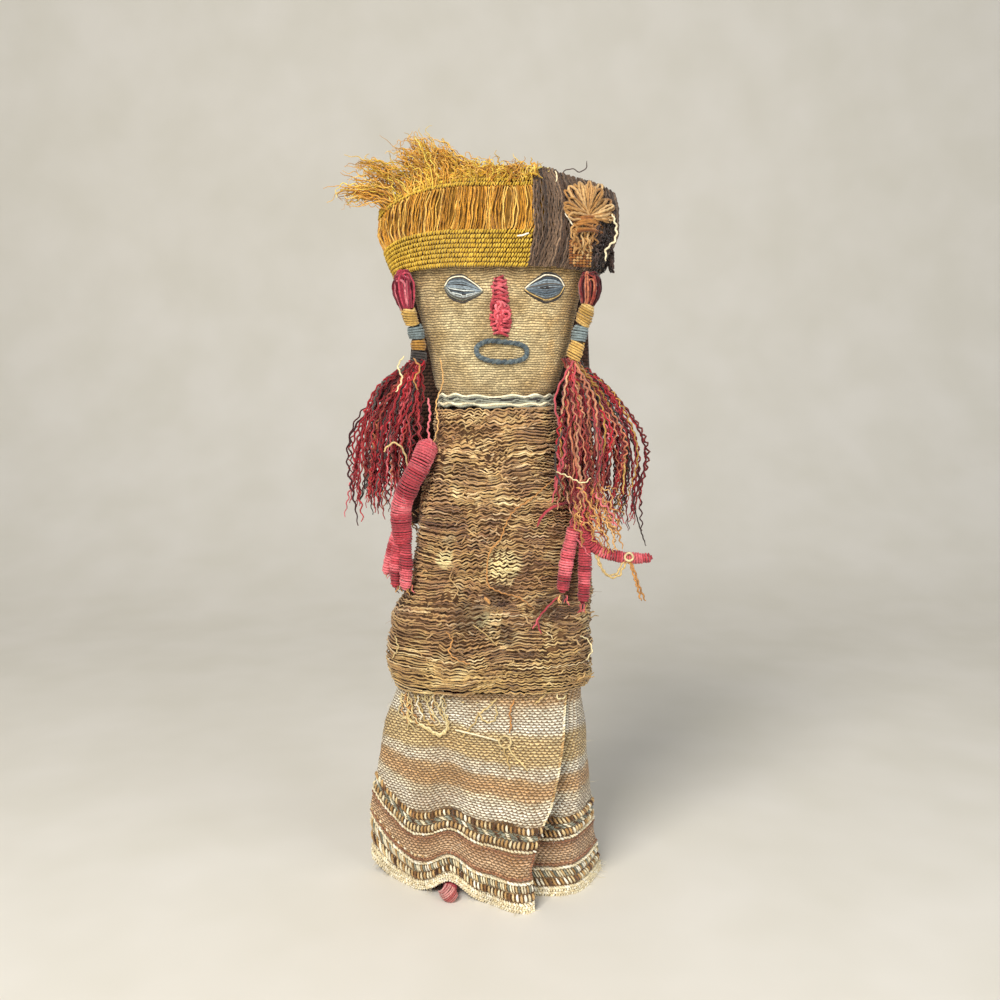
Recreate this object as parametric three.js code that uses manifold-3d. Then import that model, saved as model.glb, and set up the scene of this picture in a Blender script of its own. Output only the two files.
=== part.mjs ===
// Burial doll: a stuffed figure of woven cloth and wrapped yarn that stands on the hem of its skirt.
// Millimetres. +Z is up, +X is to the right of someone facing the doll, and the front faces -Y.
// A "depth" is a distance forward from the plane that the back lies against.

import * as THREE from 'three';
import { mergeVertices } from 'three/addons/utils/BufferGeometryUtils.js';
import Module from 'manifold-3d';

// Driving dimensions
const BACK_Y = 24;          // y of the plane behind the doll
const GAP = 0.35;           // clearance between pieces that touch
const WAIST_Z = 92;         // underside of the dress, where the skirt and the legs start
const NECK_Z = 209.9;       // top of the dress
const NECK_BAND_H = 4.9;    // height of the wound neck band
const BAND_WALL = 2.2;      // thickness of the headband
const BAND_LOW_Z = 262.2;   // lower edge of the headband at the sides and back
const BAND_TOP_Z = 302.2;   // upper edge of the headband at its middle
const BAND_FRONT_RISE = 4.6;
const SKIRT_WALL = 2.2;     // thickness of the skirt cloth
const SKIRT_TOP = { front: 36.4, back: 4.4 };
const HEM_CORNER = 7;       // depth of the hem's two side corners
const FLAP_STEP = 1.8;      // how far the skirt's overlap stands proud at the waist
const HEM_LIFT = 7.6;       // how high the hem rides over the left foot
const HEM_LIFT_X = -21.2;   // where it does so
const HEM_LIFT_SPREAD = 7.5;
const SOLE_DROP = 0.2;      // how far the foot is pressed flat
const LEG_R = 3.3;          // a leg wrapped in yarn
const ARM_R = 4.3;          // an arm wrapped in yarn
const FINGER_R = 2.7;
const BUNDLE_R = 3.1;       // the yarn bundles at the ears
const STRAND_R = 1.7;       // a lock of tassel yarn
const WELD = 0.02;          // slivers under this size are taken out of a joined body
const OVAL_POWER = 2.6;     // how square the stuffed cross-sections are
const OVAL_SIDES = 28;
const CROSSWISE = new THREE.Vector3(0.05, 1, 0.02);   // a direction that few yarns run along
const SIDEWAYS = new THREE.Vector3(1, 0.05, 0.02);    // the same for legs, which run forward at the foot

// Cross-sections: left x, right x, front depth, back depth
const NECK = [-22.8, 21.2, 31, 8.4];
const NECK_BAND = [-25.2, 23.4, 33.2, 6.6];
// The same after a height, lowest first
const HEAD_ROWS = [
  [216.4, -25.6, 23.7, 33.4, 6.4],
  [228, -28, 27.2, 34.2, 6],
  [241, -30.7, 30.6, 34.6, 5.8],
  [254, -35, 33.4, 34.6, 5.6],
  [262, -39.2, 36.9, 34.4, 5],
  [272, -43.2, 42.6, 35, 4.6],
  [280, -45.6, 45.2, 35, 4.6],
  [288, -44, 44.6, 33.4, 5.8],
  [294, -37, 40, 30.6, 8],
  [299, -22, 28, 25.6, 12.6],
];
const DRESS_ROWS = [
  [WAIST_Z, -44, 37.8, 39.4, 2.2],
  [99, -46.8, 38.8, 40.8, 1.4],
  [108, -47.1, 39.4, 40.8, 1.2],
  [118, -45.3, 38.4, 39.6, 1.8],
  [127, -42.6, 39, 39, 2.4],
  [131, -40.6, 39.5, 38.4, 2.8],
  [134, -37, 39.6, 37, 3.4],
  [144, -35.6, 38.8, 37.6, 4.4],
  [156, -33.4, 35.2, 37.6, 5.4],
  [168, -32, 31, 37.2, 6],
  [178, -30.1, 27.2, 36.8, 6.2],
  [186, -27.5, 24.4, 36.2, 6.4],
  [198, -26.3, 24.2, 35.2, 6.6],
  [NECK_Z - GAP, -26, 24, 33.4, 6.8],
];
const CROWN_ROWS = [
  [260, -41.2, 38.6, 36.6, 1.6],
  [268, -44.6, 43.6, 37.6, 1.4],
  [279, -48.6, 48.2, 37.8, 1.5],
  [290, -47.4, 48, 36.2, 3],
  [297, -44, 46, 33.6, 5.6],
  [303, -39.6, 41.6, 30.4, 8.6],
];
// The skirt: height, left x, right x, x of the overlap's free edge
const SKIRT_ROWS = [
  [0, -56.8, 46.2, 14.9],
  [9, -57, 44.6, 14.6],
  [18, -57.2, 43.2, 13.4],
  [28, -57, 42, 15.6],
  [44, -54.4, 40.4, 22],
  [59, -51.8, 39.2, 25.6],
  [73, -49.7, 37.6, 27.2],
  [85, -45.2, 35.6, 28.2],
  [WAIST_Z - GAP, -43.2, 35, 28.6],
];
const FRINGE_NOTCH = 4.5;   // how far the gaps between tufts reach down
// The fringe on the headband, from its left end: share of the way, sweep in x, height of the tips
const FRINGE_ROWS = [
  [0, -13.5, 292],
  [0.08, -15, 302],
  [0.2, -13, 310.5],
  [0.36, -11, 317.4],
  [0.5, -9, 318],
  [0.64, -7, 314],
  [0.8, -4, 311],
  [1, 0, 307.4],
];
// Folds of the hem in plan: share of the way along, depth
const FLAP_FOLDS = [[0, HEM_CORNER], [0.12, 14], [0.29, 26], [0.45, 32.8], [0.6, 34.2], [0.74, 39],
  [0.86, 46], [0.95, 48], [1, 45]];
const UNDER_FOLDS = [[0, 32], [0.34, 32.6], [0.62, 29.6], [0.83, 19.5], [1, HEM_CORNER]];

const wasm = await Module();
wasm.setup();

const lerp = THREE.MathUtils.lerp;

// Smooth values at a place, from rows that start with that place.
function rowsAt(rows, place) {
  const size = rows[0].length - 1;
  const through = new THREE.CubicInterpolant(
    rows.map((row) => row[0]), rows.flatMap((row) => row.slice(1)), size, new Float32Array(size));
  const ends = [rows[0][0], rows[rows.length - 1][0]];
  return Array.from(through.evaluate(THREE.MathUtils.clamp(place, ...ends)));
}

// One closed body from points and faces, turned so that its faces point out.
function body(points, faces) {
  const volume = faces.reduce((sum, [a, b, c]) => {
    const [p, q, r] = [a, b, c].map((i) => new THREE.Vector3(...points[i]));
    return sum + p.dot(q.cross(r));
  }, 0);
  const geometry = new THREE.BufferGeometry();
  geometry.setAttribute('position', new THREE.Float32BufferAttribute(points.flat(), 3));
  geometry.setIndex((volume < 0 ? faces.map(([a, b, c]) => [a, c, b]) : faces).flat());
  geometry.computeVertexNormals();
  return geometry;
}

// Triangles between neighbouring rings of points.
function bands(rings, closed) {
  const sides = rings[0].length;
  const faces = [];
  for (let r = 0; r < rings.length - (closed ? 0 : 1); r++) {
    const low = r * sides;
    const high = ((r + 1) % rings.length) * sides;
    for (let k = 0; k < sides; k++) {
      const next = (k + 1) % sides;
      faces.push([low + k, low + next, high + next], [low + k, high + next, high + k]);
    }
  }
  return faces;
}

const middle = (ring) => ring[0].map((_, axis) => ring.reduce((sum, p) => sum + p[axis], 0) / ring.length);

// A closed body through rings of points, with a fan over each end.
function loft(rings) {
  const points = [...rings.flat(), middle(rings[0]), middle(rings[rings.length - 1])];
  const faces = bands(rings, false);
  const sides = rings[0].length;
  const last = (rings.length - 1) * sides;
  for (let k = 0; k < sides; k++) {
    const next = (k + 1) % sides;
    faces.push([next, k, points.length - 2], [last + k, last + next, points.length - 1]);
  }
  return body(points, faces);
}

// A tube wall: outer rings upwards, then inner rings downwards, back to the start.
const shell = (outer, inner) => {
  const rings = [...outer, ...inner.slice().reverse()];
  return body(rings.flat(), bands(rings, true));
};

// A thin body between two grids of points with the same rows and columns.
function slab(front, back) {
  const columns = front[0].length;
  const loops = front.map((row, i) => [...row, ...back[i].slice().reverse()]);
  const sides = 2 * columns;
  const faces = bands(loops, false);
  for (const [start, turn] of [[0, true], [(loops.length - 1) * sides, false]]) {
    for (let k = 0; k + 1 < columns; k++) {
      const [a, b, c, d] = [start + k, start + k + 1, start + sides - 2 - k, start + sides - 1 - k];
      faces.push(...(turn ? [[b, a, c], [c, a, d]] : [[a, b, c], [a, c, d]]));
    }
  }
  return body(loops.flat(), faces);
}

const bulge = (value) => Math.sign(value) * Math.abs(value) ** (2 / OVAL_POWER);

// A stuffed cross-section as a ring, anticlockwise from +X.
function oval([left, right, front, back], z, sides = OVAL_SIDES) {
  return Array.from({ length: sides }, (_, k) => {
    const angle = (2 * Math.PI * k) / sides;
    return [
      lerp(left, right, 0.5 + 0.5 * bulge(Math.cos(angle))),
      BACK_Y - lerp(front, back, 0.5 + 0.5 * bulge(Math.sin(angle))),
      z,
    ];
  });
}

// A cross-section made larger all round, or smaller where the amount is negative.
const grown = ([left, right, front, back], by) => [left - by, right + by, front + by, back - by];

// Depth of a stuffed cross-section's front at one x.
function frontDepth([left, right, front, back], x) {
  const across = Math.min(1, Math.abs((2 * x - left - right) / (right - left)));
  return (front + back) / 2 + ((front - back) / 2) * (1 - across ** OVAL_POWER) ** (1 / OVAL_POWER);
}

const at = (x, depth, z) => new THREE.Vector3(x, BACK_Y - depth, z);
const faceAt = (x, z, proud) => [x, BACK_Y - frontDepth(rowsAt(HEAD_ROWS, z), x) - proud, z];

// A round tube along a curve between two shares of its length, with a radius for each step.
function tube(path, radii, sides, from = 0, to = 1, fixed = CROSSWISE) {
  const steps = radii.length - 1;
  return loft(radii.map((radius, i) => {
    const share = lerp(from, to, i / steps);
    const centre = path.getPointAt(share);
    const tangent = path.getTangentAt(share);
    const side = new THREE.Vector3().crossVectors(tangent, fixed).normalize();
    const up = new THREE.Vector3().crossVectors(side, tangent);
    return Array.from({ length: sides }, (_, k) => {
      const angle = (2 * Math.PI * k) / sides;
      return centre.clone()
        .addScaledVector(side, radius * Math.cos(angle))
        .addScaledVector(up, radius * Math.sin(angle)).toArray();
    });
  }));
}

const curve = (...points) => new THREE.CatmullRomCurve3(points, false, 'centripetal');

// Several closed bodies joined into one.
function joined(geometries) {
  const solids = geometries.map((geometry) => {
    const plain = geometry.clone();
    plain.deleteAttribute('normal');
    const merged = mergeVertices(plain);
    return new wasm.Manifold(new wasm.Mesh({
      numProp: 3,
      vertProperties: new Float32Array(merged.attributes.position.array),
      triVerts: new Uint32Array(merged.index.array),
    }));
  });
  const mesh = solids.reduce((sum, solid) => sum.add(solid)).simplify(WELD).getMesh();
  const geometry = new THREE.BufferGeometry();
  geometry.setAttribute('position', new THREE.BufferAttribute(Float32Array.from(mesh.vertProperties), 3));
  geometry.setIndex(Array.from(mesh.triVerts));
  geometry.computeVertexNormals();
  return geometry;
}

// Head: a stuffed pillow with a square-cut neck, wide under the headband and closed at the crown.
function head() {
  const neck = [NECK_Z, NECK_Z + NECK_BAND_H + GAP];
  const heights = [216.4, 222, 230, 238, 246, 254, 262, 272, 282, 290, 295, 299];
  return loft([
    ...neck.map((z) => oval(NECK, z)),
    ...heights.map((z) => oval(rowsAt(HEAD_ROWS, z), z)),
  ]);
}

// Neck band: yarns wound into the groove between the head and the dress.
function neckBand() {
  const heights = [0, 0.5, 1].map((share) => NECK_Z + NECK_BAND_H * share);
  const wound = heights.map((z, i) => {
    const swell = i === 1 ? 0.9 : 0.2;
    return oval(grown(NECK_BAND, swell), z);
  });
  return shell(wound, heights.map((z) => oval(grown(NECK, GAP), z)));
}

// Dress: the torso wound in cloth, in soft turns that ripple it, with a wider turn round the hips.
function dress() {
  const turns = 10;
  const levels = 2 * turns;
  return loft(Array.from({ length: levels + 1 }, (_, i) => {
    const z = lerp(WAIST_Z, NECK_Z - GAP, i / levels);
    const ripple = i > 0 && i < levels && i % 2 ? 0.7 : 0;
    return oval(grown(rowsAt(DRESS_ROWS, z), ripple), z);
  }));
}

// Skirt: one plan outline at each height, made of the flap, the layer under it and the back.
function skirtOutline(z, flapSteps = 12, underSteps = 6, backSteps = 9) {
  const [left, right, edge] = rowsAt(SKIRT_ROWS, z);
  const waist = [left, right, SKIRT_TOP.front, SKIRT_TOP.back];
  const waistMiddle = (SKIRT_TOP.front + SKIRT_TOP.back) / 2;
  const rise = (z / WAIST_Z) ** 1.3;
  const points = [];
  for (let i = 0; i <= flapSteps; i++) {
    const share = 1 - Math.cos((Math.PI / 2) * (i / flapSteps));
    const x = lerp(left, edge, share);
    const top = frontDepth(waist, x) + FLAP_STEP * share;
    points.push([x, lerp(rowsAt(FLAP_FOLDS, share)[0], top, rise)]);
  }
  for (let i = 0; i <= underSteps; i++) {
    const share = Math.sin((Math.PI / 2) * (i / underSteps));
    const x = lerp(edge + 1, right, share);
    points.push([x, lerp(rowsAt(UNDER_FOLDS, share)[0], frontDepth(waist, x), rise)]);
  }
  for (let i = 1; i < backSteps; i++) {
    const turn = Math.PI * (i / backSteps);
    const x = lerp(left, right, 0.5 + 0.5 * Math.cos(turn));
    const hemDepth = HEM_CORNER * (1 - Math.sin(turn) ** 0.7);
    const waistDepth = waistMiddle - (waistMiddle - SKIRT_TOP.back) * Math.sin(turn) ** 0.8;
    points.push([x, lerp(hemDepth, waistDepth, rise)]);
  }
  return points;
}

// The same outline moved in by the cloth's thickness.
function inset(points, distance) {
  const count = points.length;
  return points.map(([x, depth], i) => {
    const normal = new THREE.Vector2();
    for (const [from, to] of [[i + count - 1, i], [i, i + 1]]) {
      const [p, q] = [points[from % count], points[to % count]];
      normal.add(new THREE.Vector2(q[1] - p[1], p[0] - q[0]).normalize());
    }
    normal.normalize().multiplyScalar(distance);
    return [x + normal.x, depth + normal.y];
  });
}

// Skirt: a flared cloth wall, open above and below, its hem on the ground but for the left foot.
function skirt() {
  const levels = 8;
  const top = WAIST_Z - GAP;
  const rings = (thickness) => Array.from({ length: levels + 1 }, (_, i) => {
    const outline = skirtOutline(top * (i / levels));
    return (thickness ? inset(outline, thickness) : outline).map(([x, depth]) => {
      const overFoot = depth > 20 ? Math.exp(-(((x - HEM_LIFT_X) / HEM_LIFT_SPREAD) ** 2)) : 0;
      const lift = overFoot > 0.03 ? HEM_LIFT * overFoot : 0;
      return [x, BACK_Y - depth, lerp(lift, top, i / levels)];
    });
  });
  return shell(rings(0), rings(SKIRT_WALL));
}

// Leg: a yarn-wrapped stick down from the torso, bent forward into a short foot.
function leg(x, toeX, toeDepth) {
  const [legDepth, heelDepth, soleZ] = [17, 20, LEG_R - SOLE_DROP];
  const path = curve(at(x, legDepth, WAIST_Z - GAP), at(x, legDepth, 50), at(x, legDepth + 0.4, 18),
    at(lerp(x, toeX, 0.3), heelDepth, 2 * LEG_R),
    at(lerp(x, toeX, 0.7), lerp(heelDepth, toeDepth, 0.6), soleZ), at(toeX, toeDepth, soleZ));
  const radii = Array(11).fill(LEG_R).concat([LEG_R * 0.9, LEG_R * 0.6]);
  return tube(path, radii, 8, 0, 1, SIDEWAYS);
}

// Heights of the headband's lower and upper edges round the crown, at an x and a depth.
function bandEdges(x, depth) {
  const [middleDepth, halfDepth, halfWidth] = [20, 17, 48];
  const [leftDrop, rightDrop] = [13, 7];
  const [stripeX, stripeSpread, stripeRise] = [21, 7, 2.4];
  const front = Math.max(0, (depth - middleDepth) / halfDepth) ** 1.5;
  const drop = (x < 0 ? leftDrop : rightDrop) * (Math.abs(x) / halfWidth) ** 4;
  const stripeBump = stripeRise * front * Math.exp(-(((x - stripeX) / stripeSpread) ** 2));
  return [BAND_LOW_Z + BAND_FRONT_RISE * front, BAND_TOP_Z - drop + stripeBump];
}

// Headband: a woven strip round the crown, with its warp ends standing up as a frayed fringe.
function headband() {
  const levels = 5;
  const sides = 32;
  const widestZ = 280;
  const widest = oval(rowsAt(CROWN_ROWS, widestZ), widestZ, sides);
  const ringAt = (share, wall) => widest.map(([x, y], k) => {
    const [low, high] = bandEdges(x, BACK_Y - y);
    const z = lerp(low, high, share);
    return oval(grown(rowsAt(CROWN_ROWS, z), -wall), z, sides)[k];
  });
  const rings = (wall) => Array.from({ length: levels + 1 }, (_, i) => ringAt(i / levels, wall));
  const strip = shell(rings(0), rings(BAND_WALL));
  return joined([strip, fringe()]);
}

// Fringe: the frayed warp ends as one ragged crest, swept left, that grows out of the band's wall.
function fringe() {
  const columns = 20;
  const [startTurn, endTurn] = [1.04 * Math.PI, 1.6 * Math.PI];
  const [left, right, front, back] = grown(rowsAt(CROWN_ROWS, 292), -BAND_WALL / 2);
  const levels = [[0, 0.9], [0.3, 2.8], [0.65, 2.4], [1, 1.4]];
  const grid = (side) => levels.map(([height, half]) => Array.from({ length: columns + 1 }, (_, i) => {
    const angle = lerp(startTurn, endTurn, i / columns);
    const x = lerp(left, right, 0.5 + 0.5 * bulge(Math.cos(angle)));
    const depth = lerp(front, back, 0.5 + 0.5 * bulge(Math.sin(angle)));
    const [sweep, tip] = rowsAt(FRINGE_ROWS, i / columns);
    const foot = bandEdges(x, depth)[1] - BAND_WALL;
    const notched = i % 2 === 0 && i > 0 && i < columns;
    const lean = 3 * height ** 2;
    return [x + sweep * height ** 1.4, BACK_Y - depth + lean + side * half,
      lerp(foot, notched ? tip - FRINGE_NOTCH : tip, height)];
  }));
  return slab(grid(-1), grid(1));
}

// A low mound of yarn that lies on the headband, wider above than below.
function bandMound(x, z, halfWidth, halfHeight, height) {
  const [spokes, rings] = [12, 2];
  const grid = (proud) => Array.from({ length: rings }, (_, r) => Array.from({ length: spokes }, (_, k) => {
    const share = (r + 1) / rings;
    const angle = (2 * Math.PI * k) / spokes;
    const px = x + halfWidth * share * Math.cos(angle) * (1 + 0.25 * Math.sin(angle));
    const pz = z + halfHeight * share * Math.sin(angle);
    const depth = frontDepth(rowsAt(CROWN_ROWS, pz), px) + 2 * GAP;
    return [px, BACK_Y - depth - (proud ? height * Math.sqrt(1.08 - share ** 2) : 0), pz];
  }));
  return loft([...grid(false), ...grid(true).reverse()]);
}

// Mantle: a thin veil that hangs behind the head and shoulders from the band's lower edge, in soft folds.
function mantle() {
  const columns = 16;
  const rows = [[158, -38, 33], [180, -41, 38], [202, -41.5, 40], [224, -38, 39], [244, -36, 38],
    [BAND_LOW_Z - GAP, -38, 36]];
  const [innerDepth, outerDepth, foldDepth] = [3.9, 1.7, 1.1];
  const grid = (inner) => rows.map(([z, left, right], row) => Array.from({ length: columns + 1 }, (_, i) => {
    const side = 2 * (i / columns) - 1;
    const fold = foldDepth * Math.min(1, (rows.length - 1 - row) / 2) * Math.cos(i * Math.PI * 0.5);
    const ragged = row === 0 ? 3 * Math.abs(side) + 1.5 * Math.cos(i * 1.7) : 0;
    const depth = (inner ? innerDepth : outerDepth) + fold + 4 * side ** 4;
    return [lerp(left, right, i / columns), BACK_Y - depth, z + ragged];
  }));
  return slab(grid(true), grid(false));
}

// Eye: a low almond of satin stitches, pointed at both ends.
function eye(x, z, halfWidth, halfHeight, tilt) {
  const steps = 8;
  const spine = Array.from({ length: steps + 1 }, (_, i) => 2 * (i / steps) - 1);
  const grid = (raised) => spine.map((share) => [-1, -0.5, 0, 0.5, 1].map((across) => {
    const half = 0.35 + halfHeight * (1 - share ** 2) ** 0.8;
    const [px, pz] = [x + halfWidth * share, z + half * across + tilt * share];
    return faceAt(px, pz, GAP + (raised ? 0.5 + 1.1 * (1 - across ** 2) * (1 - share ** 2) : 0));
  }));
  return slab(grid(true), grid(false));
}

// Nose: a ridge of coiled stitches, narrow above and round below.
function nose() {
  const rows = [[238.4, 1], [240, 3.3], [244, 4.3], [248, 3.8], [252, 3.3], [257, 3], [260.5, 2.2], [262, 0.9]];
  const grid = (raised) => rows.map(([z, half]) => [-1, -0.6, 0, 0.6, 1].map((across) => {
    const x = lerp(1.2, 0.3, (z - 238) / 24) + half * across;
    return faceAt(x, z, GAP + (raised ? 0.6 + half * 0.8 * (1 - across ** 2) : 0));
  }));
  return slab(grid(true), grid(false));
}

// Mouth: a cord laid in an oval.
function mouth() {
  const [steps, sides, radius] = [20, 5, 1.1];
  const [x0, z0, halfWidth, halfHeight] = [0.9, 232.6, 9.7, 4.1];
  const rings = Array.from({ length: steps }, (_, i) => {
    const turn = (2 * Math.PI * i) / steps;
    return Array.from({ length: sides }, (_, k) => {
      const angle = (2 * Math.PI * k) / sides;
      const out = radius * Math.cos(angle);
      const x = x0 + (halfWidth + out) * Math.cos(turn);
      const z = z0 + (halfHeight + out) * bulge(Math.sin(turn));
      return faceAt(x, z, GAP + radius * (1 + Math.sin(angle)));
    });
  });
  return body(rings.flat(), bands(rings, true));
}

// The yarn bundle at each ear runs down one curve, in stretches with their own wrapping.
const EAR_LEFT = curve(at(-38.2, 31, 264), at(-37.6, 31.6, 255), at(-35.9, 31.2, 247), at(-33.2, 30.6, 240),
  at(-32.2, 30.6, 234), at(-32.2, 30.8, 227.6));
const EAR_RIGHT = curve(at(36.2, 31, 264), at(36.4, 31.8, 255), at(34.8, 31.6, 247), at(33, 31, 241),
  at(31.6, 31, 235), at(29.8, 31, 228.6));

const stretch = (ear, from, to, radii) => tube(ear, radii.map((r) => r * BUNDLE_R), 9, from, to);

// Tassel: locks of yarn that leave one knot, turn outwards and hang, joined where they touch.
function tassel({ root, count, shoulders, elbows, ends, tuck }) {
  const locks = Array.from({ length: count }, (_, i) => {
    const share = i / (count - 1);
    const between = ([outer, inner]) => outer.clone().lerp(inner, share);
    const layer = new THREE.Vector3(0, i % 2 ? 1.1 : -1.1, 0);
    const ragged = new THREE.Vector3(0, 0, [0, 7, -3, 5, 1][i % 5]);
    const path = curve(root, between(shoulders).addScaledVector(layer, 0.5), between(elbows).add(layer),
      between(ends).add(layer).add(ragged));
    return tube(path, [0.8, 1.05, 1.1, 1.05, 0.4].map((r) => r * STRAND_R), 5);
  });
  const knot = tube(curve(root, root.clone().add(tuck)), [1, 1.15, 0.8].map((r) => r * BUNDLE_R), 8);
  return joined([knot, ...locks]);
}

function tasselLeft() {
  return tassel({
    root: at(-32.2, 30.8, 227.2),
    count: 9,
    shoulders: [at(-47.5, 27, 218), at(-34, 27, 214)],
    elbows: [at(-58, 21, 196), at(-37, 22, 197)],
    ends: [at(-60.6, 18, 166), at(-37.4, 19, 174)],
    tuck: new THREE.Vector3(-1.5, 0.5, -6),
  });
}

function tasselRight() {
  return tassel({
    root: at(29.6, 31, 227.7),
    count: 10,
    shoulders: [at(48, 28, 214), at(29.5, 33, 214)],
    elbows: [at(58.5, 23, 194), at(29.5, 35, 197)],
    ends: [at(56, 22, 156), at(31.5, 36, 182)],
    tuck: new THREE.Vector3(1, 0.5, -6),
  });
}

const wrapped = (path, radius, steps = 6) => tube(path,
  Array.from({ length: steps }, (_, i) => radius * (i === 0 || i === steps - 1 ? 0.7 : 1)), 7);

// Arms: yarn-wrapped rolls that end in three fingers.
function armLeft() {
  return joined([
    wrapped(curve(at(-27.7, 29.4, 196.5), at(-32, 32.6, 187), at(-36.6, 33, 178), at(-39.9, 31.4, 169),
      at(-39.9, 30.6, 160), at(-39.2, 30.6, 152)), ARM_R, 9),
    wrapped(curve(at(-38.6, 31.6, 158), at(-38.2, 31.6, 146), at(-38.6, 31.4, 134.6)), FINGER_R),
    wrapped(curve(at(-40.6, 30.2, 158), at(-42.2, 30, 148), at(-43, 29.8, 135.4)), FINGER_R),
    wrapped(curve(at(-41.2, 30, 160), at(-44.6, 28.4, 150), at(-47, 27.4, 140.4)), FINGER_R * 0.8),
  ]);
}

function armRight() {
  return joined([
    wrapped(curve(at(29.8, 20.5, 192), at(32.3, 22.5, 182), at(35.3, 26, 173), at(34.2, 34.4, 164),
      at(32.8, 39.2, 156)), ARM_R * 1.1, 8),
    wrapped(curve(at(30.6, 40, 163), at(27.8, 40.6, 150), at(25.8, 41.4, 135.6)), FINGER_R),
    wrapped(curve(at(34.6, 39, 162), at(35, 39.6, 148), at(34.4, 40.6, 130.8)), FINGER_R),
    wrapped(curve(at(34, 39, 163), at(40, 39.6, 153), at(50, 39, 149.6), at(62.3, 38, 149)), FINGER_R),
  ]);
}

const COLOURS = {
  faceCloth: 0xb79a68, neckYarn: 0x6d7464, dressCloth: 0x85643f, skirtCloth: 0xb99f78, redYarn: 0xb8454c,
  mustard: 0xb98a2c, tanYarn: 0xa9824e, darkYarn: 0x2d211b, mantleCloth: 0x40322a, blueYarn: 0x52646c,
  crimson: 0x7e2230, yellowYarn: 0xa8873f, ochreYarn: 0xa06f35, greyYarn: 0x35322f, coral: 0xb64a4b,
};

const doll = new THREE.Group();
function add(name, geometry, colour) {
  const material = new THREE.MeshStandardMaterial({ color: COLOURS[colour], roughness: 0.95, metalness: 0 });
  const mesh = new THREE.Mesh(geometry, material);
  mesh.name = name;
  doll.add(mesh);
}

add('head', head(), 'faceCloth');
add('neck_band', neckBand(), 'neckYarn');
add('dress', dress(), 'dressCloth');
add('skirt', skirt(), 'skirtCloth');
add('leg_left', leg(-19.5, -21.6, 38.6), 'redYarn');
add('leg_right', leg(14, 13, 25), 'redYarn');
add('headband', headband(), 'mustard');
add('yarn_loops_tan', bandMound(34.8, 288.6, 8, 9, 4.2), 'tanYarn');
add('yarn_knot_dark', bandMound(41.6, 275.4, 3.4, 7.6, 3), 'darkYarn');
add('mantle', mantle(), 'mantleCloth');
add('eye_left', eye(-13.9, 257, 7.5, 4.5, -0.9), 'blueYarn');
add('eye_right', eye(18.3, 257.4, 7.9, 4.9, 0.6), 'blueYarn');
add('nose', nose(), 'coral');
add('mouth', mouth(), 'blueYarn');
add('ear_left_loops', stretch(EAR_LEFT, 0, 0.38, [0.9, 1.15, 1.2, 0.95]), 'crimson');
add('ear_left_wrap_yellow', stretch(EAR_LEFT, 0.39, 0.585, [0.9, 1.05, 0.95]), 'yellowYarn');
add('ear_left_wrap_blue', stretch(EAR_LEFT, 0.595, 0.735, [0.92, 1, 0.92]), 'blueYarn');
add('ear_left_wrap_orange', stretch(EAR_LEFT, 0.745, 0.855, [0.92, 1, 0.92]), 'ochreYarn');
add('ear_left_wrap_dark', stretch(EAR_LEFT, 0.865, 0.975, [0.9, 0.98, 0.9]), 'greyYarn');
add('tassel_left', tasselLeft(), 'crimson');
add('ear_right_loops', stretch(EAR_RIGHT, 0, 0.34, [0.95, 1.25, 1.25, 0.95]), 'crimson');
add('ear_right_wrap_yellow', stretch(EAR_RIGHT, 0.35, 0.59, [0.9, 1.1, 0.95, 1.1, 0.9]), 'yellowYarn');
add('ear_right_wrap_blue', stretch(EAR_RIGHT, 0.6, 0.77, [0.9, 0.98, 0.9]), 'blueYarn');
add('ear_right_wrap_ochre', stretch(EAR_RIGHT, 0.78, 0.98, [0.9, 1.05, 0.9]), 'ochreYarn');
add('tassel_right', tasselRight(), 'crimson');
add('arm_left', armLeft(), 'redYarn');
add('arm_right', armRight(), 'redYarn');

// The origin is the middle of the whole doll's box, on the ground.
const box = new THREE.Box3().setFromObject(doll);
const centre = box.getCenter(new THREE.Vector3());
doll.position.set(-centre.x, -centre.y, -box.min.z);

export default doll;
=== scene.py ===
# %% [markdown]
# # A textile burial doll
# The real object is a figure about 32 cm tall, stuffed with fibre and made of woven cloth and wrapped yarn.
# Its fixed frame is a set of plain solids in metres: +Z up, the face towards -Y, the hem on the ground. Here
# each solid is dressed with its cloth or its yarns, which stay where the solid is.

# %% Load the fixed frame
import math

import bmesh
import bpy
import numpy as np
from mathutils import Euler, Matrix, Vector
from mathutils.bvhtree import BVHTree


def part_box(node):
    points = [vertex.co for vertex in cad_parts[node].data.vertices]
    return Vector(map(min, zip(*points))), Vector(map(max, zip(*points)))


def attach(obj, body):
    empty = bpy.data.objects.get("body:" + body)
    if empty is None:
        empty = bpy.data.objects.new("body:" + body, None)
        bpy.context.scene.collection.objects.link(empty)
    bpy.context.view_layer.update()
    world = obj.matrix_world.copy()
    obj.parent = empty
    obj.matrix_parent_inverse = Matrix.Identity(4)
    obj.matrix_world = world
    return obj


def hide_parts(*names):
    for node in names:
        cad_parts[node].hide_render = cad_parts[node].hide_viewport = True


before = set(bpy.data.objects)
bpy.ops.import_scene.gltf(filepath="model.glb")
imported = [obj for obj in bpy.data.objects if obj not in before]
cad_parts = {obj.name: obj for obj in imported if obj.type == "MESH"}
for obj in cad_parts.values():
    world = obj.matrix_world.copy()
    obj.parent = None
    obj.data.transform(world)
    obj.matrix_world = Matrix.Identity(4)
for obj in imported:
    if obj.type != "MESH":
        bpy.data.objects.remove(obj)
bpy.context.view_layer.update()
MM = 0.001
print("solids:", len(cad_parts))

# %% [markdown]
# Sizes below are in millimetres. A place on the doll is easiest to say as x across, depth forward of the plane
# that the back lies against, and height. The camera stands where the photographer stood, so a pixel of the
# picture can be sent along its line of sight until it meets a solid.

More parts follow.
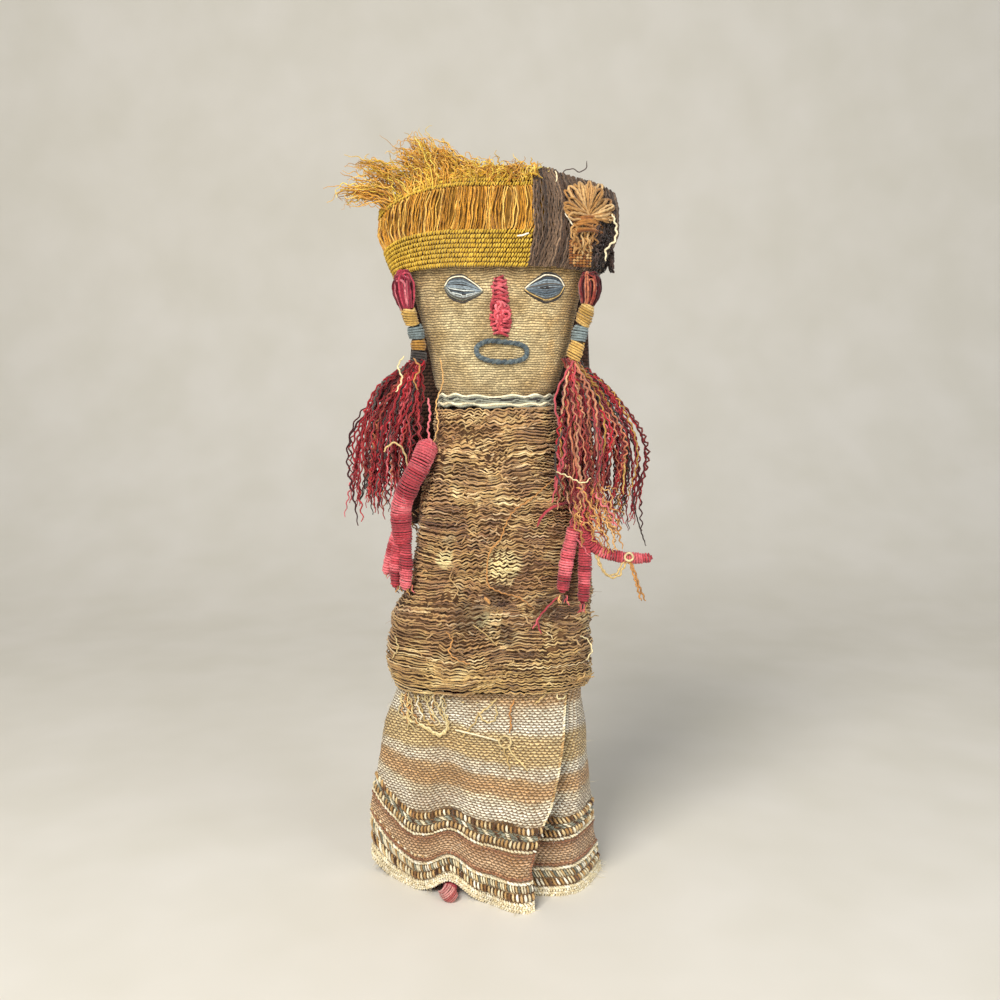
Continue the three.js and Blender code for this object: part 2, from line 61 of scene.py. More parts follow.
# %% Places on the doll
SIDE_X = -0.63     # the doll's own middle line, in the frame
BACK_Y = 23.23     # the plane behind the doll, in the frame
PICTURE = 1000     # width and height of the picture, in pixels
FOCAL = 1080.4     # the lens's focal length in those pixels
CAMERA_TILT = math.radians(90 - 7.87)
CAMERA_TURN = math.radians(-0.31)
CAMERA_PLACE = (-1.8, 470.3, 232.65)


def spot(x, depth, z):
    """A place on the doll as a point of the frame, in millimetres."""
    return np.array([x + SIDE_X, BACK_Y - depth, z], float)


def spots(*rows):
    return np.array([spot(*row) for row in rows])


camera_data = bpy.data.cameras.new("camera")
camera_data.lens = camera_data.sensor_width * FOCAL / PICTURE
camera_data.clip_start = 0.01
camera = bpy.data.objects.new("camera", camera_data)
camera.location = Vector(spot(*CAMERA_PLACE)) * MM
camera.rotation_euler = (CAMERA_TILT, 0, CAMERA_TURN)
bpy.context.scene.collection.objects.link(camera)
bpy.context.scene.camera = camera

graph = bpy.context.evaluated_depsgraph_get()
trees = {name: BVHTree.FromObject(node, graph) for name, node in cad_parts.items()}


def sight(px, py):
    """The direction of a pixel's line of sight."""
    line = Vector((px - PICTURE / 2, PICTURE / 2 - py, -FOCAL)).normalized()
    line.rotate(Euler(camera.rotation_euler))
    return line


def hung(px, py, depth):
    """The point of a pixel's line of sight at a depth, for yarn that hangs clear of the doll."""
    line = sight(px, py)
    return np.array(camera.location) / MM + np.array(line) * (CAMERA_PLACE[1] - depth) / line.y


def seen(px, py, lift=0.6, on=None):
    """The point that a pixel of the picture shows, on the nearest solid or on those named, lifted towards the lens."""
    line = sight(px, py)
    hits = [trees[name].ray_cast(camera.location, line) for name in (on or trees)]
    reach = min((hit[3] for hit in hits if hit[0]), default=0.46)
    return np.array(camera.location + line * reach) / MM - np.array(line) * lift


def front(node, x, z, lift=0.0):
    """The point of a solid's front at a place across and a height, lifted forward."""
    start = Vector((x + SIDE_X, -100, z)) * MM
    hit = trees[node].ray_cast(start, Vector((0, 1, 0)))
    y = hit[0].y / MM if hit[0] else 0
    return np.array([x + SIDE_X, y - lift, z])


print("camera lens:", round(camera_data.lens, 1), "mm")

# %% [markdown]
# Cloth and yarn are never quite regular. A small table of random numbers, read smoothly, gives every surface
# the same kind of gentle unevenness, the same on each run.


# %% Smooth random values
def wobble(u, v, size, seed):
    """Smooth random values from -1 to 1 that change over about `size`."""
    table = np.random.default_rng(seed).uniform(-1, 1, (64, 64))
    x, y = np.asarray(u, float) / size, np.asarray(v, float) / size
    i, j = np.floor(x).astype(int), np.floor(y).astype(int)
    fx, fy = x - i, y - j
    fx, fy = fx * fx * (3 - 2 * fx), fy * fy * (3 - 2 * fy)
    low = table[i % 64, j % 64] * (1 - fx) + table[(i + 1) % 64, j % 64] * fx
    high = table[i % 64, (j + 1) % 64] * (1 - fx) + table[(i + 1) % 64, (j + 1) % 64] * fx
    return low * (1 - fy) + high * fy


# %% [markdown]
# A finish is a node tree on the Principled shader. Wool and cotton are matt, with a little sheen from their
# loose fibres, and no two yarns have quite the same colour. So each finish starts from a few yarn colours and
# adds fibre streaks, soil, and painted shade in the gaps between the yarns and under some parts.


# %% Finishes, one short call for each node
def paint(code):
    """A colour code such as b98a2c as the shader's linear numbers."""
    parts = [int(code[i:i + 2], 16) / 255 for i in (0, 2, 4)]
    return (*[c / 12.92 if c <= 0.04045 else ((c + 0.055) / 1.055) ** 2.4 for c in parts], 1)


class Finish:
    """A material whose nodes are added one at a time."""

    def __init__(self, name, roughness=0.9, sheen=0.25):
        self.material = bpy.data.materials.new(name)
        self.material.use_nodes = True
        self.tree = self.material.node_tree
        self.shader = self.tree.nodes["Principled BSDF"]
        for socket, value in (("Roughness", roughness), ("Sheen Weight", sheen), ("Specular IOR Level", 0.15)):
            self.shader.inputs[socket].default_value = value
        self.place = self.node("TexCoord").outputs["Object"]
        self.loose = self.node("NewGeometry").outputs["Random Per Island"]

    def node(self, kind, sockets=None, **settings):
        made = self.tree.nodes.new("ShaderNode" + kind)
        for key, value in settings.items():
            setattr(made, key, value)
        for key, value in (sockets or {}).items():
            if isinstance(value, bpy.types.NodeSocket):
                self.tree.links.new(value, made.inputs[key])
            else:
                made.inputs[key].default_value = value
        return made

    def noise(self, size, place=None, detail=2.0):
        """Cloudy values from 0 to 1 whose clouds are about `size` millimetres."""
        sockets = {"Vector": place or self.place, "Scale": 1 / (size * MM), "Detail": detail}
        return self.node("TexNoise", sockets).outputs["Fac"]

    def math(self, operation, a, b=0.0):
        return self.node("Math", {0: a, 1: b}, operation=operation).outputs[0]

    def between(self, value, low, high, to_low=0.0, to_high=1.0):
        sockets = {"Value": value, "From Min": low, "From Max": high, "To Min": to_low, "To Max": to_high}
        return self.node("MapRange", sockets).outputs["Result"]

    def mix(self, share, a, b, blend="MIX"):
        made = self.node("Mix", {0: share, 6: a, 7: b}, data_type="RGBA", blend_type=blend, clamp_result=False)
        return made.outputs[2]

    def ramp(self, value, stops):
        """A colour for each value, from (place, colour code) stops."""
        made = self.node("ValToRGB", {"Fac": value})
        elements = made.color_ramp.elements
        for element, (place, code) in zip(elements, (stops[0], stops[-1])):
            element.position, element.color = place, paint(code)
        for place, code in stops[1:-1]:
            elements.new(place).color = paint(code)
        return made.outputs["Color"]

    def grey(self, value):
        """A plain value as a grey that multiplies a colour."""
        return self.node("CombineColor", {0: value, 1: value, 2: value}).outputs[0]

    def blob(self, x, depth, z, radius, soft=0.6):
        """1 within a ragged round patch about a place, 0 outside."""
        offset = self.node("VectorMath", {0: self.place, 1: tuple(spot(x, depth, z) * MM)}, operation="DISTANCE")
        ragged = self.math("ADD", offset.outputs["Value"], self.between(self.noise(5), 0, 1, -4 * MM, 4 * MM))
        return self.between(ragged, radius * MM, radius * soft * MM)

    def done(self, colour, height=None, relief=0.3, fibre=0.35):
        """Joins the colour and the bump to the shader. Relief is the bump's height in millimetres."""
        fine = self.noise(0.35, detail=3.0)
        bump = self.node("Bump", {"Height": fine, "Distance": 0.25 * MM, "Strength": fibre})
        if height is not None:
            sockets = {"Height": height, "Distance": relief * MM, "Strength": 0.9, "Normal": bump.outputs[0]}
            bump = self.node("Bump", sockets)
        self.tree.links.new(colour, self.shader.inputs["Base Color"])
        self.tree.links.new(bump.outputs[0], self.shader.inputs["Normal"])
        return self.material


def wool(name, codes, spread=0.35, fibre=0.4):
    """A finish for loose yarns: each yarn takes its own colour from the codes, streaked by its fibres."""
    finish = Finish(name)
    stops = [((i + 0.5) / len(codes), code) for i, code in enumerate(codes)]
    colour = finish.ramp(finish.loose, stops)
    streaks = finish.between(finish.noise(0.9, detail=3.0), 0.3, 0.7, 1 - spread, 1 + spread)
    patches = finish.between(finish.noise(9), 0.3, 0.7, 1 - spread * 0.6, 1 + spread * 0.5)
    shade = finish.grey(finish.math("MULTIPLY", streaks, patches))
    return finish.done(finish.mix(1.0, colour, shade, "MULTIPLY"), fibre=fibre)


# %% [markdown]
# Every finished mesh becomes a piece in the same way: it is linked, it rides on the doll's one body, and the
# solids it stands for are hidden.


# %% Pieces from meshes
total_triangles = 0


def piece(name, mesh, finishes, stands_for=()):
    global total_triangles
    made = bpy.data.objects.new(name, mesh)
    bpy.context.scene.collection.objects.link(made)
    mesh.materials.clear()
    for finish in finishes:
        mesh.materials.append(finish)
    mesh.polygons.foreach_set("use_smooth", np.ones(len(mesh.polygons), bool))
    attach(made, "root")
    if stands_for:
        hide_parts(*stands_for)
    triangles = sum(len(p.vertices) - 2 for p in mesh.polygons)
    total_triangles += triangles
    print(f"{name}: {triangles} triangles")
    return made


# %% [markdown]
# Yarns are curves with a round bevel, many in one piece. The bevel is one millimetre, so that a point's radius
# is in millimetres, and a few sides are enough on a yarn less than a millimetre thick. The curve is turned into
# a mesh at the end, so that each yarn is an island with its own shade.


# %% Yarns from curves
def yarns(name, strands, finishes, stands_for=(), sides=4):
    """One piece of many yarns. A strand is its points, its radii and the number of its finish."""
    data = bpy.data.curves.new(name, "CURVE")
    data.dimensions = "3D"
    data.bevel_depth = MM
    data.bevel_resolution = (sides - 4) // 2
    data.use_fill_caps = True
    for finish in finishes:
        data.materials.append(finish)
    for points, radii, finish in strands:
        spline = data.splines.new("POLY")
        spline.points.add(len(points) - 1)
        places = np.column_stack([points * MM, np.ones(len(points))])
        spline.points.foreach_set("co", places.astype(np.float32).ravel())
        spline.points.foreach_set("radius", np.broadcast_to(radii, len(points)).astype(np.float32))
        spline.material_index = finish
    rough = bpy.data.objects.new(name + "_curve", data)
    bpy.context.scene.collection.objects.link(rough)
    bpy.context.view_layer.update()
    mesh = bpy.data.meshes.new_from_object(rough.evaluated_get(bpy.context.evaluated_depsgraph_get()))
    bpy.data.objects.remove(rough)
    indices = np.empty(len(mesh.polygons), np.int32)
    mesh.polygons.foreach_get("material_index", indices)
    made = piece(name, mesh, finishes, stands_for)
    mesh.polygons.foreach_set("material_index", indices)
    return made


def flowing(points, step=0.8):
    """Points about `step` apart on a smooth line through a few points."""
    points = np.asarray(points, float)
    knots = np.concatenate([[0], np.cumsum(np.linalg.norm(np.diff(points, axis=0), axis=1))])
    slopes = np.gradient(points, knots, axis=0)
    at = np.linspace(0, knots[-1], max(3, int(knots[-1] / step) + 1))
    i = np.clip(np.searchsorted(knots, at, side="right") - 1, 0, len(knots) - 2)
    span = (knots[i + 1] - knots[i])[:, None]
    t = ((at - knots[i])[:, None]) / span
    return ((1 + 2 * t) * (1 - t) ** 2 * points[i] + t * (1 - t) ** 2 * span * slopes[i]
            + t ** 2 * (3 - 2 * t) * points[i + 1] + t ** 2 * (t - 1) * span * slopes[i + 1])


def unit(vectors):
    return vectors / np.maximum(np.linalg.norm(vectors, axis=-1, keepdims=True), 1e-9)


def sideways(path, across=(0.12, 1, 0.07)):
    """Two directions square to a path at each of its points."""
    forward = unit(np.gradient(path, axis=0))
    side = unit(np.cross(forward, across))
    return side, np.cross(side, forward)


def crimped(path, height, length, rng, settle=4.0):
    """A path with the small waves of yarn that was once woven, growing over its first few millimetres."""
    along = np.concatenate([[0], np.cumsum(np.linalg.norm(np.diff(path, axis=0), axis=1))])
    side, over = sideways(path)
    start, drift = rng.uniform(0, 7, 2)
    phase = 2 * np.pi * along / length + start + 1.6 * np.sin(along / (2.3 * length) + drift)
    swell = height * np.clip(along / settle, 0, 1) * (0.7 + 0.3 * np.sin(along / 7 + drift))
    return path + side * (swell * np.sin(phase))[:, None] + over * (0.7 * swell * np.cos(phase * 0.83))[:, None]


# %% [markdown]
# Cloth is a fine grid made by bmesh. Each of its points is moved to its place on the doll and then raised or
# lowered a little along the surface's own normal, so that the weave is real relief. The grid's corners keep
# where they lie on the cloth, in millimetres, so that colours and bump follow the yarns.


# %% Cloth from a fine grid
def welded(places, raised):
    """Brings raised points together again where the cloth closes on itself: down a seam and at its poles."""
    if np.abs(places[:, 0] - places[:, -1]).max() < 0.05:
        raised[:, [0, -1]] = raised[:, [0, -1]].mean(axis=1, keepdims=True)
    for row in (0, -1):
        if np.ptp(places[row], axis=0).max() < 0.05:
            raised[row] = raised[row].mean(axis=0)
    return raised


def close_ends(bm):
    """Fills the narrow gap between a cloth's two faces at its cut ends, with the yarn coordinates beside it."""
    kept = bm.loops.layers.float_vector["cloth"]
    open_edges = [edge for edge in bm.edges if edge.is_boundary]
    ends = bmesh.ops.holes_fill(bm, edges=open_edges, sides=0)["faces"] if open_edges else []
    for face in ends:
        for corner in face.loops:
            beside = [other for other in corner.vert.link_loops if other.face != face]
            corner[kept] = beside[0][kept]
    thin = bmesh.ops.triangulate(bm, faces=ends)["faces"]
    longest = max((edge.calc_length() / MM for face in thin for edge in face.edges), default=0)
    print(f"closed {len(ends)} ends of {len(open_edges)} edges, the longest {longest:.1f} mm across;",
          "still open:", sum(edge.is_boundary for edge in bm.edges))


def cloth(name, columns, rows, surface, finishes, stands_for=()):
    """One piece of cloth. surface(u, v), with u and v from 0 to 1, gives places, relief and yarn coordinates."""
    bm = bmesh.new()
    bmesh.ops.create_grid(bm, x_segments=columns, y_segments=rows, size=0.5)
    mesh = bpy.data.meshes.new(name)
    bm.to_mesh(mesh)
    flat = np.empty(len(mesh.vertices) * 3, np.float32)
    mesh.vertices.foreach_get("co", flat)
    i = np.rint((flat[0::3] + 0.5) * columns).astype(int)
    j = np.rint((flat[1::3] + 0.5) * rows).astype(int)
    u, v = np.meshgrid(np.linspace(0, 1, columns + 1), np.linspace(0, 1, rows + 1))
    places, relief, yarn = surface(u, v)
    normal = unit(np.cross(np.gradient(places, axis=1), np.gradient(places, axis=0)))
    raised = welded(places, places + normal * relief[..., None])
    mesh.vertices.foreach_set("co", (raised[j, i] * MM).astype(np.float32).ravel())
    corner = np.empty(len(mesh.loops), np.int32)
    mesh.loops.foreach_get("vertex_index", corner)
    kept = mesh.attributes.new("cloth", "FLOAT_VECTOR", "CORNER")
    kept.data.foreach_set("vector", yarn[j, i][corner].astype(np.float32).ravel())
    bm.clear()
    bm.from_mesh(mesh)
    bmesh.ops.remove_doubles(bm, verts=bm.verts, dist=0.004 * MM)
    close_ends(bm)
    bm.to_mesh(mesh)
    bm.free()
    return piece(name, mesh, finishes, stands_for)


class Skin:
    """A solid's outer surface, felt by rays from outside and smoothed, by the turn round it and the height."""

    def __init__(self, node, turns=180, levels=110, soften=3):
        low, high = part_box(node)
        self.axis = (low + high) / 2
        self.low, self.high = low.z / MM, high.z / MM
        self.reach = np.zeros((levels, turns))
        for i, z in enumerate(np.linspace(low.z + 0.2 * MM, high.z - 0.2 * MM, levels)):
            for j in range(turns):
                turn = 2 * math.pi * j / turns - math.pi
                out = Vector((math.sin(turn), -math.cos(turn), 0))
                hit = trees[node].ray_cast(Vector((self.axis.x, self.axis.y, z)) + out * 0.2, -out)
                self.reach[i, j] = (0.2 - hit[3]) / MM if hit[0] else self.reach[i - 1, j]
        for _ in range(soften):
            self.reach = sum(np.roll(self.reach, k, axis=1) for k in (-2, -1, 0, 1, 2)) / 5
            padded = np.pad(self.reach, ((1, 1), (0, 0)), mode="edge")
            self.reach = (padded[:-2] + padded[1:-1] + padded[2:]) / 3

    def look(self, turn, z):
        levels, turns = self.reach.shape
        y = np.clip((z - self.low) / (self.high - self.low), 0, 1) * (levels - 1)
        x = (turn + np.pi) / (2 * np.pi) * turns
        i, j = np.minimum(y.astype(int), levels - 2), np.floor(x).astype(int)
        fy, fx = y - i, x - j
        j, k = j % turns, (j + 1) % turns
        low = self.reach[i, j] * (1 - fx) + self.reach[i, k] * fx
        return low * (1 - fy) + (self.reach[i + 1, j] * (1 - fx) + self.reach[i + 1, k] * fx) * fy

    def at(self, turn, z, lift=0.0, shrink=1.0):
        turn, z = np.broadcast_arrays(np.asarray(turn, float), np.asarray(z, float))
        out = (self.look(turn, z) + lift) * shrink
        x = self.axis.x / MM + out * np.sin(turn)
        return np.stack([x, self.axis.y / MM - out * np.cos(turn), z], axis=-1)


def front_heavy(u, extra=1.0):
    """Turns from -pi to pi whose steps are finer at the front."""
    s = 2 * u - 1
    return np.pi * (s + extra * s ** 3) / (1 + extra)


def lengths_along(places):
    """Distance along each row of a grid of places, from its middle column."""
    steps = np.linalg.norm(np.diff(places, axis=1), axis=-1)
    total = np.concatenate([np.zeros((len(places), 1)), np.cumsum(steps, axis=1)], axis=1)
    return total - total[:, [total.shape[1] // 2]]


# %% [markdown]
# Woven cloth shares one finish. Its yarns show as plump floats, laid like bricks, so the shader builds one bulge
# for each float from two sine waves on the yarn coordinates. The bulge drives the bump and a painted shade: dark
# in the gaps between floats, at their ends and under each float's sagging lower edge. Each float takes its own
# tint, which is what makes old hand-spun cloth look so lively from a step away.


# %% The finish of woven cloth
def woven(name, colour_of, length, pitch, gap="2a1c10", depth=0.85, tint=0.2, relief=0.45, slant=0.0,
          breaks=0.6, scallop=0.0, joints=0.4):
    """colour_of(finish, across, height) gives the colour before the weave is drawn. Gap is the colour of a painted
    shade, and depth how far it darkens. Breaks deepens the floats' ends, scallop lets each float sag between them,
    and the last argument widens the dark lines; all three shape where the painted shade lies."""
    finish = Finish(name)
    where = finish.node("Attribute", attribute_name="cloth").outputs["Vector"]
    across, up, height = finish.node("SeparateXYZ", {0: where}).outputs
    sway = finish.between(finish.noise(3.0), 0.2, 0.8, -0.3 * pitch, 0.3 * pitch)
    rows = finish.math("DIVIDE", finish.math("ADD", up, sway), pitch)
    row = finish.math("FLOOR", rows)
    shift = finish.math("MULTIPLY", finish.math("PINGPONG", row, 1.0), 0.5)
    lean = finish.math("MULTIPLY", finish.math("FRACT", rows), slant)
    shifted = finish.math("ADD", finish.math("ADD", across, sway), lean)
    floats = finish.math("ADD", finish.math("DIVIDE", shifted, length), shift)
    bulges = [finish.math("ABSOLUTE", finish.math("SINE", finish.math("MULTIPLY", value, math.pi)))
              for value in (rows, floats)]
    bulge = finish.math("MULTIPLY", finish.math("POWER", bulges[0], 0.75), finish.math("POWER", bulges[1], breaks))
    # Painted shadow under each float: below its sagging lower edge the bulge is cut to nothing, so the colour goes
    # dark.
    sag = finish.math("MULTIPLY", finish.math("SUBTRACT", 1.0, bulges[1]), scallop)
    above = finish.between(finish.math("SUBTRACT", finish.math("FRACT", rows), sag), 0, 0.24)
    bulge = finish.math("MULTIPLY", bulge, above)
    own = finish.node("CombineXYZ", {0: finish.math("FLOOR", floats), 1: row})
    luck = finish.node("TexWhiteNoise", {"Vector": own.outputs[0]}, noise_dimensions="2D").outputs["Value"]
    shade = finish.between(luck, 0, 1, 1 - tint, 1 + tint)
    streaks = finish.between(finish.noise(0.7, detail=3.0), 0.3, 0.7, 0.85, 1.3)
    lit = finish.mix(1.0, colour_of(finish, across, height), finish.grey(finish.math("MULTIPLY", shade, streaks)), "MULTIPLY")
    # Painted shade: where the bulge is low, in the gaps, at the floats' ends and under their lower edges, the colour
    # goes towards gap.
    gap_shade = finish.between(bulge, 0.04, joints, depth, 0)
    return finish.done(finish.mix(gap_shade, lit, paint(gap)), height=bulge, relief=relief)


# %% [markdown]
# The head is a stuffed pillow of plain cloth. Its weft runs across the face in rows a little over a millimetre
# apart, slightly wavy. Under the headband and at the sides the cloth is painted a patchy darker brown as shade,
# and it grows darker towards the neck.

# %% Head
FACE_ROW = 1.0      # weft pitch
FACE_FLOAT = 1.45   # two warps
head_skin = Skin("head")


def head_surface(u, v):
    turn = front_heavy(u, 1.2)
    z = np.interp(v, [0, 0.01, 0.03, 0.87, 0.97, 1], [209.9, 209.9, 214.6, 268, 297, 299.4])
    shrink = np.interp(v, [0, 0.01, 0.97, 1], [0, 1, 1, 0])
    places = head_skin.at(turn, z, 0.0, shrink)
    along = lengths_along(places)
    up = z + 0.45 * wobble(along, z, 13, 1) + 0.22 * wobble(along, z, 4, 2)
    calm = np.interp(z, [214, 216, 268, 276], [0, 1, 1, 0])
    relief = calm * (0.35 * wobble(along, z, 11, 3) + 0.12 * wobble(along, z, 3, 4))
    pulled = 1.4 * np.exp(-((along / 5) ** 2) - ((z - 263) / 5) ** 2)
    return places, relief, np.stack([along, up - pulled, z], axis=-1)


def face_colour(finish, across, height):
    """Aged beige, more orange-tan at the right; painted shade under the headband and at the sides; darker at the neck.
    """
    pale = finish.ramp(finish.noise(14), [(0.35, "a58d60"), (0.5, "b8a276"), (0.65, "cbb88c")])
    # Painted shade: top darkens the cloth under the headband and edge at the face's sides, in patches; neck darkens it
    # towards the neck.
    top = finish.between(height, 258, 267, 0, 0.85)
    neck = finish.between(height, 226, 215, 0, 0.45)
    edge = finish.between(finish.math("ABSOLUTE", across), 22, 36, 0, 0.75)
    soil_and_shade = finish.math("MAXIMUM", finish.math("MAXIMUM", top, neck), edge)
    soil_and_shade = finish.math("MULTIPLY", soil_and_shade, finish.between(finish.noise(6), 0.3, 0.65, 0.35, 1.1))
    right = finish.math("MULTIPLY", finish.between(across, 4, 26), finish.between(finish.noise(9), 0.4, 0.6, 0.2, 0.8))
    return finish.mix(soil_and_shade, finish.mix(right, pale, paint("bf985c")), paint("80603a"))


face_cloth = woven("face cloth", face_colour, FACE_FLOAT, FACE_ROW, gap="4a3418", depth=0.95, tint=0.26, breaks=0.32)
head = cloth("head_cloth", 200, 140, head_surface, [face_cloth], ["head"])

# %% [markdown]
# The dress is a crepe cloth wound round a stuffed torso. Its hard-twisted yarns have sprung into waves, so close
# up it is a stack of separate crinkled yarns with dark gaps. A smooth dark body fills the torso, its dark brown a
# painted shade that shows in the gaps, and every yarn is laid round it as a curve.

# %% Dress
YARN_PITCH = 1.08
WAVE_LENGTH = 3.5
dress_skin = Skin("dress", soften=4)


def dress_body(u, v):
    low, high = dress_skin.low, dress_skin.high
    z = np.interp(v, [0, 0.02, 0.98, 1], [low, low + 0.5, high - 0.5, high])
    shrink = np.interp(v, [0, 0.02, 0.98, 1], [0, 1, 1, 0])
    places = dress_skin.at(2 * np.pi * u - np.pi, z, -0.35, shrink)
    along = lengths_along(places)
    relief = 0.3 * wobble(along, z, 5, 11)
    return places, relief, np.stack([along, z, 0 * z], axis=-1)


def crepe_colour(finish):
    """Zones of tan, brown and olive up the dress, with ragged borders, as codes by height."""
    height = finish.node("SeparateXYZ", {0: finish.place}).outputs["Z"]
    ragged = finish.math("ADD", height, finish.between(finish.noise(16), 0.2, 0.8, -9 * MM, 9 * MM))
    share = finish.between(ragged, 90 * MM, 212 * MM)
    zones = [(0.0, "b0924f"), (0.07, "c2a45c"), (0.16, "a5824e"), (0.27, "7a543c"), (0.37, "a0714c"),
             (0.48, "bb915c"), (0.56, "996c4a"), (0.68, "bd9566"), (0.8, "cda874"), (0.88, "b08252"), (1.0, "c9a470")]
    return finish.ramp(share, zones)


def crepe(name):
    finish = Finish(name)
    base = crepe_colour(finish)
    tints = [(0.0, "6b4a36"), (0.2, "a07a4c"), (0.4, "c6a168"), (0.55, "8f6644"), (0.7, "d6ba84"), (0.85, "b58a56"),
             (1.0, "ead7aa")]
    patches = finish.ramp(finish.noise(8, detail=3.0),
                          [(0.32, "5e4034"), (0.43, "8a644c"), (0.5, "b08a5a"), (0.58, "c9aa6e"), (0.68, "ecd9a4")])
    colour = finish.mix(0.4, finish.mix(0.6, base, patches), finish.ramp(finish.loose, tints))
    for x, depth, z, radius in ((2.2, 38, 146, 8.5), (-7, 38, 122.5, 4.6), (-22, 36, 148, 4)):
        colour = finish.mix(finish.math("MULTIPLY", finish.blob(x, depth, z, radius), 0.95), colour, paint("e2cf98"))
    for x, depth, z, radius in ((-12, 38, 124, 9), (20, 36, 128, 8), (4, 38, 118, 6), (-1, 38, 133, 7)):
        colour = finish.mix(finish.math("MULTIPLY", finish.blob(x, depth, z, radius), 0.6), colour, paint("3a2620"))
    single = finish.between(finish.loose, 0, 1, 0.8, 1.2)
    fibres = finish.between(finish.noise(0.8, detail=3.0), 0.3, 0.7, 0.8, 1.25)
    shade = finish.grey(finish.math("MULTIPLY", single, fibres))
    return finish.done(finish.mix(1.0, colour, shade, "MULTIPLY"))


crepe_yarn = crepe("crepe yarn")
# The under body's dark brown is painted shade, seen in the gaps between the crepe yarns.
gap_shade_finish = Finish("under body in painted gap shade", sheen=0.1)
gap_shade_under = gap_shade_finish.done(gap_shade_finish.ramp(gap_shade_finish.noise(2.5), [(0.3, "2c1c12"), (0.7, "6a4c30")]))
dress = cloth("dress_body", 130, 70, dress_body, [gap_shade_under], ["dress"])


def crepe_strands():
    rng = np.random.default_rng(21)
    even_turn = front_heavy(np.linspace(0, 1, 190), 1.6)
    strands, start_phase = [], 0.0
    for row in range(int((dress_skin.high - dress_skin.low) / YARN_PITCH) + 1):
        start_phase += rng.uniform(-0.8, 0.8)
        turn = even_turn + rng.uniform(-0.7, 0.7) * (even_turn / np.pi) ** 6
        z = np.full_like(turn, dress_skin.low + 0.5 + YARN_PITCH * row)
        level = dress_skin.at(turn, z)
        along = lengths_along(level[None])[0]
        x = level[:, 0]
        sag = -3.4 * np.exp(-(((x + 9) / 11) ** 2) - ((z - 108) / 9) ** 2)
        sag = sag + 1.5 * wobble(along, z, 17, 22) + 0.8 * wobble(along, z, 6, 27)
        tight = 0.5 + 0.5 * np.clip((x + 44) / 16, 0, 1) if row < 28 else 1.0
        swing = (0.28 + 0.26 * wobble(along, z, 9, 23)) * tight
        phase = 2 * np.pi * along / (WAVE_LENGTH * tight) + 4.5 * wobble(along, z, 8, 24) + start_phase
        nub = 1 + 0.3 * wobble(along, row * 9.0, 1.7, 28) + 0.2 * wobble(along, z, 5, 29)
        start = 0
        while start < len(turn) - 1:
            stop = min(len(turn), start + int(rng.uniform(7, 34)))
            if len(turn) - stop < 5:
                stop = len(turn)
            k = slice(max(start - 1, 0), stop)
            ends = np.interp(np.arange(k.stop - k.start), [0, 2, k.stop - k.start - 3, k.stop - k.start - 1], [0, 1, 1, 0])
            high = z[k] + sag[k] + swing[k] * np.sin(phase[k]) + rng.uniform(-0.38, 0.38)
            lift = 0.1 + rng.uniform(-0.25, 0.55) + 0.35 * wobble(along[k], high, 7, 25) + 0.3 * np.cos(phase[k])
            lift = np.where(ends < 1, lift * 0.5 - 0.5 * (1 - ends), lift) + 0.5 * wobble(along[k], high, 22, 26)
            points = dress_skin.at(turn[k], np.clip(high, dress_skin.low, dress_skin.high), lift)
            strands.append((points, 0.4 * nub[k] * rng.uniform(0.7, 1.15), 0))
            start = stop
    return strands


dress_yarns = yarns("dress_yarns", crepe_strands(), [crepe_yarn])

# %% [markdown]
# The skirt is one long striped cloth wound round the legs and closed by an overlap at the front. It is modelled
# as it is worn: the strip starts under the overlap, goes to the right, round the back, and comes across the front
# to its free edge. Its folds are the hem's plan, eased into the round of the waist.

# %% Skirt's shape
WAIST_Z = 91.6
SKIRT_ROWS = np.array([      # height, left x, right x, x of the free edge
    [0, -56.8, 46.2, 14.9], [9, -57, 44.6, 14.6], [18, -57.2, 43.2, 13.4], [28, -57, 42, 15.6],
    [44, -54.4, 40.4, 22], [59, -51.8, 39.2, 25.6], [73, -49.7, 37.6, 27.2], [85, -45.2, 35.6, 28.2],
    [92, -43.2, 35, 28.6]])
FLAP_FOLDS = np.array([[0, 7], [0.12, 14], [0.29, 26], [0.45, 32.8], [0.6, 34.2], [0.74, 39], [0.86, 46],
                       [0.95, 48], [1, 45]])
UNDER_FOLDS = np.array([[-0.4, 32], [0, 32], [0.34, 32.6], [0.62, 29.6], [0.83, 19.5], [1, 7]])
WAIST_OVAL = (36.4, 4.4)     # front and back depth
TUCK = 0.16                  # share of the strip's under layer that the overlap hides
CLOTH_LENGTH = 96.0          # hem to waist along the cloth


def waist_depth(x, left, right):
    across = np.clip(np.abs((2 * x - left - right) / (right - left)), 0, 1)
    low, high = WAIST_OVAL[1], WAIST_OVAL[0]
    return (high + low) / 2 + (high - low) / 2 * (1 - across ** 2.6) ** (1 / 2.6)


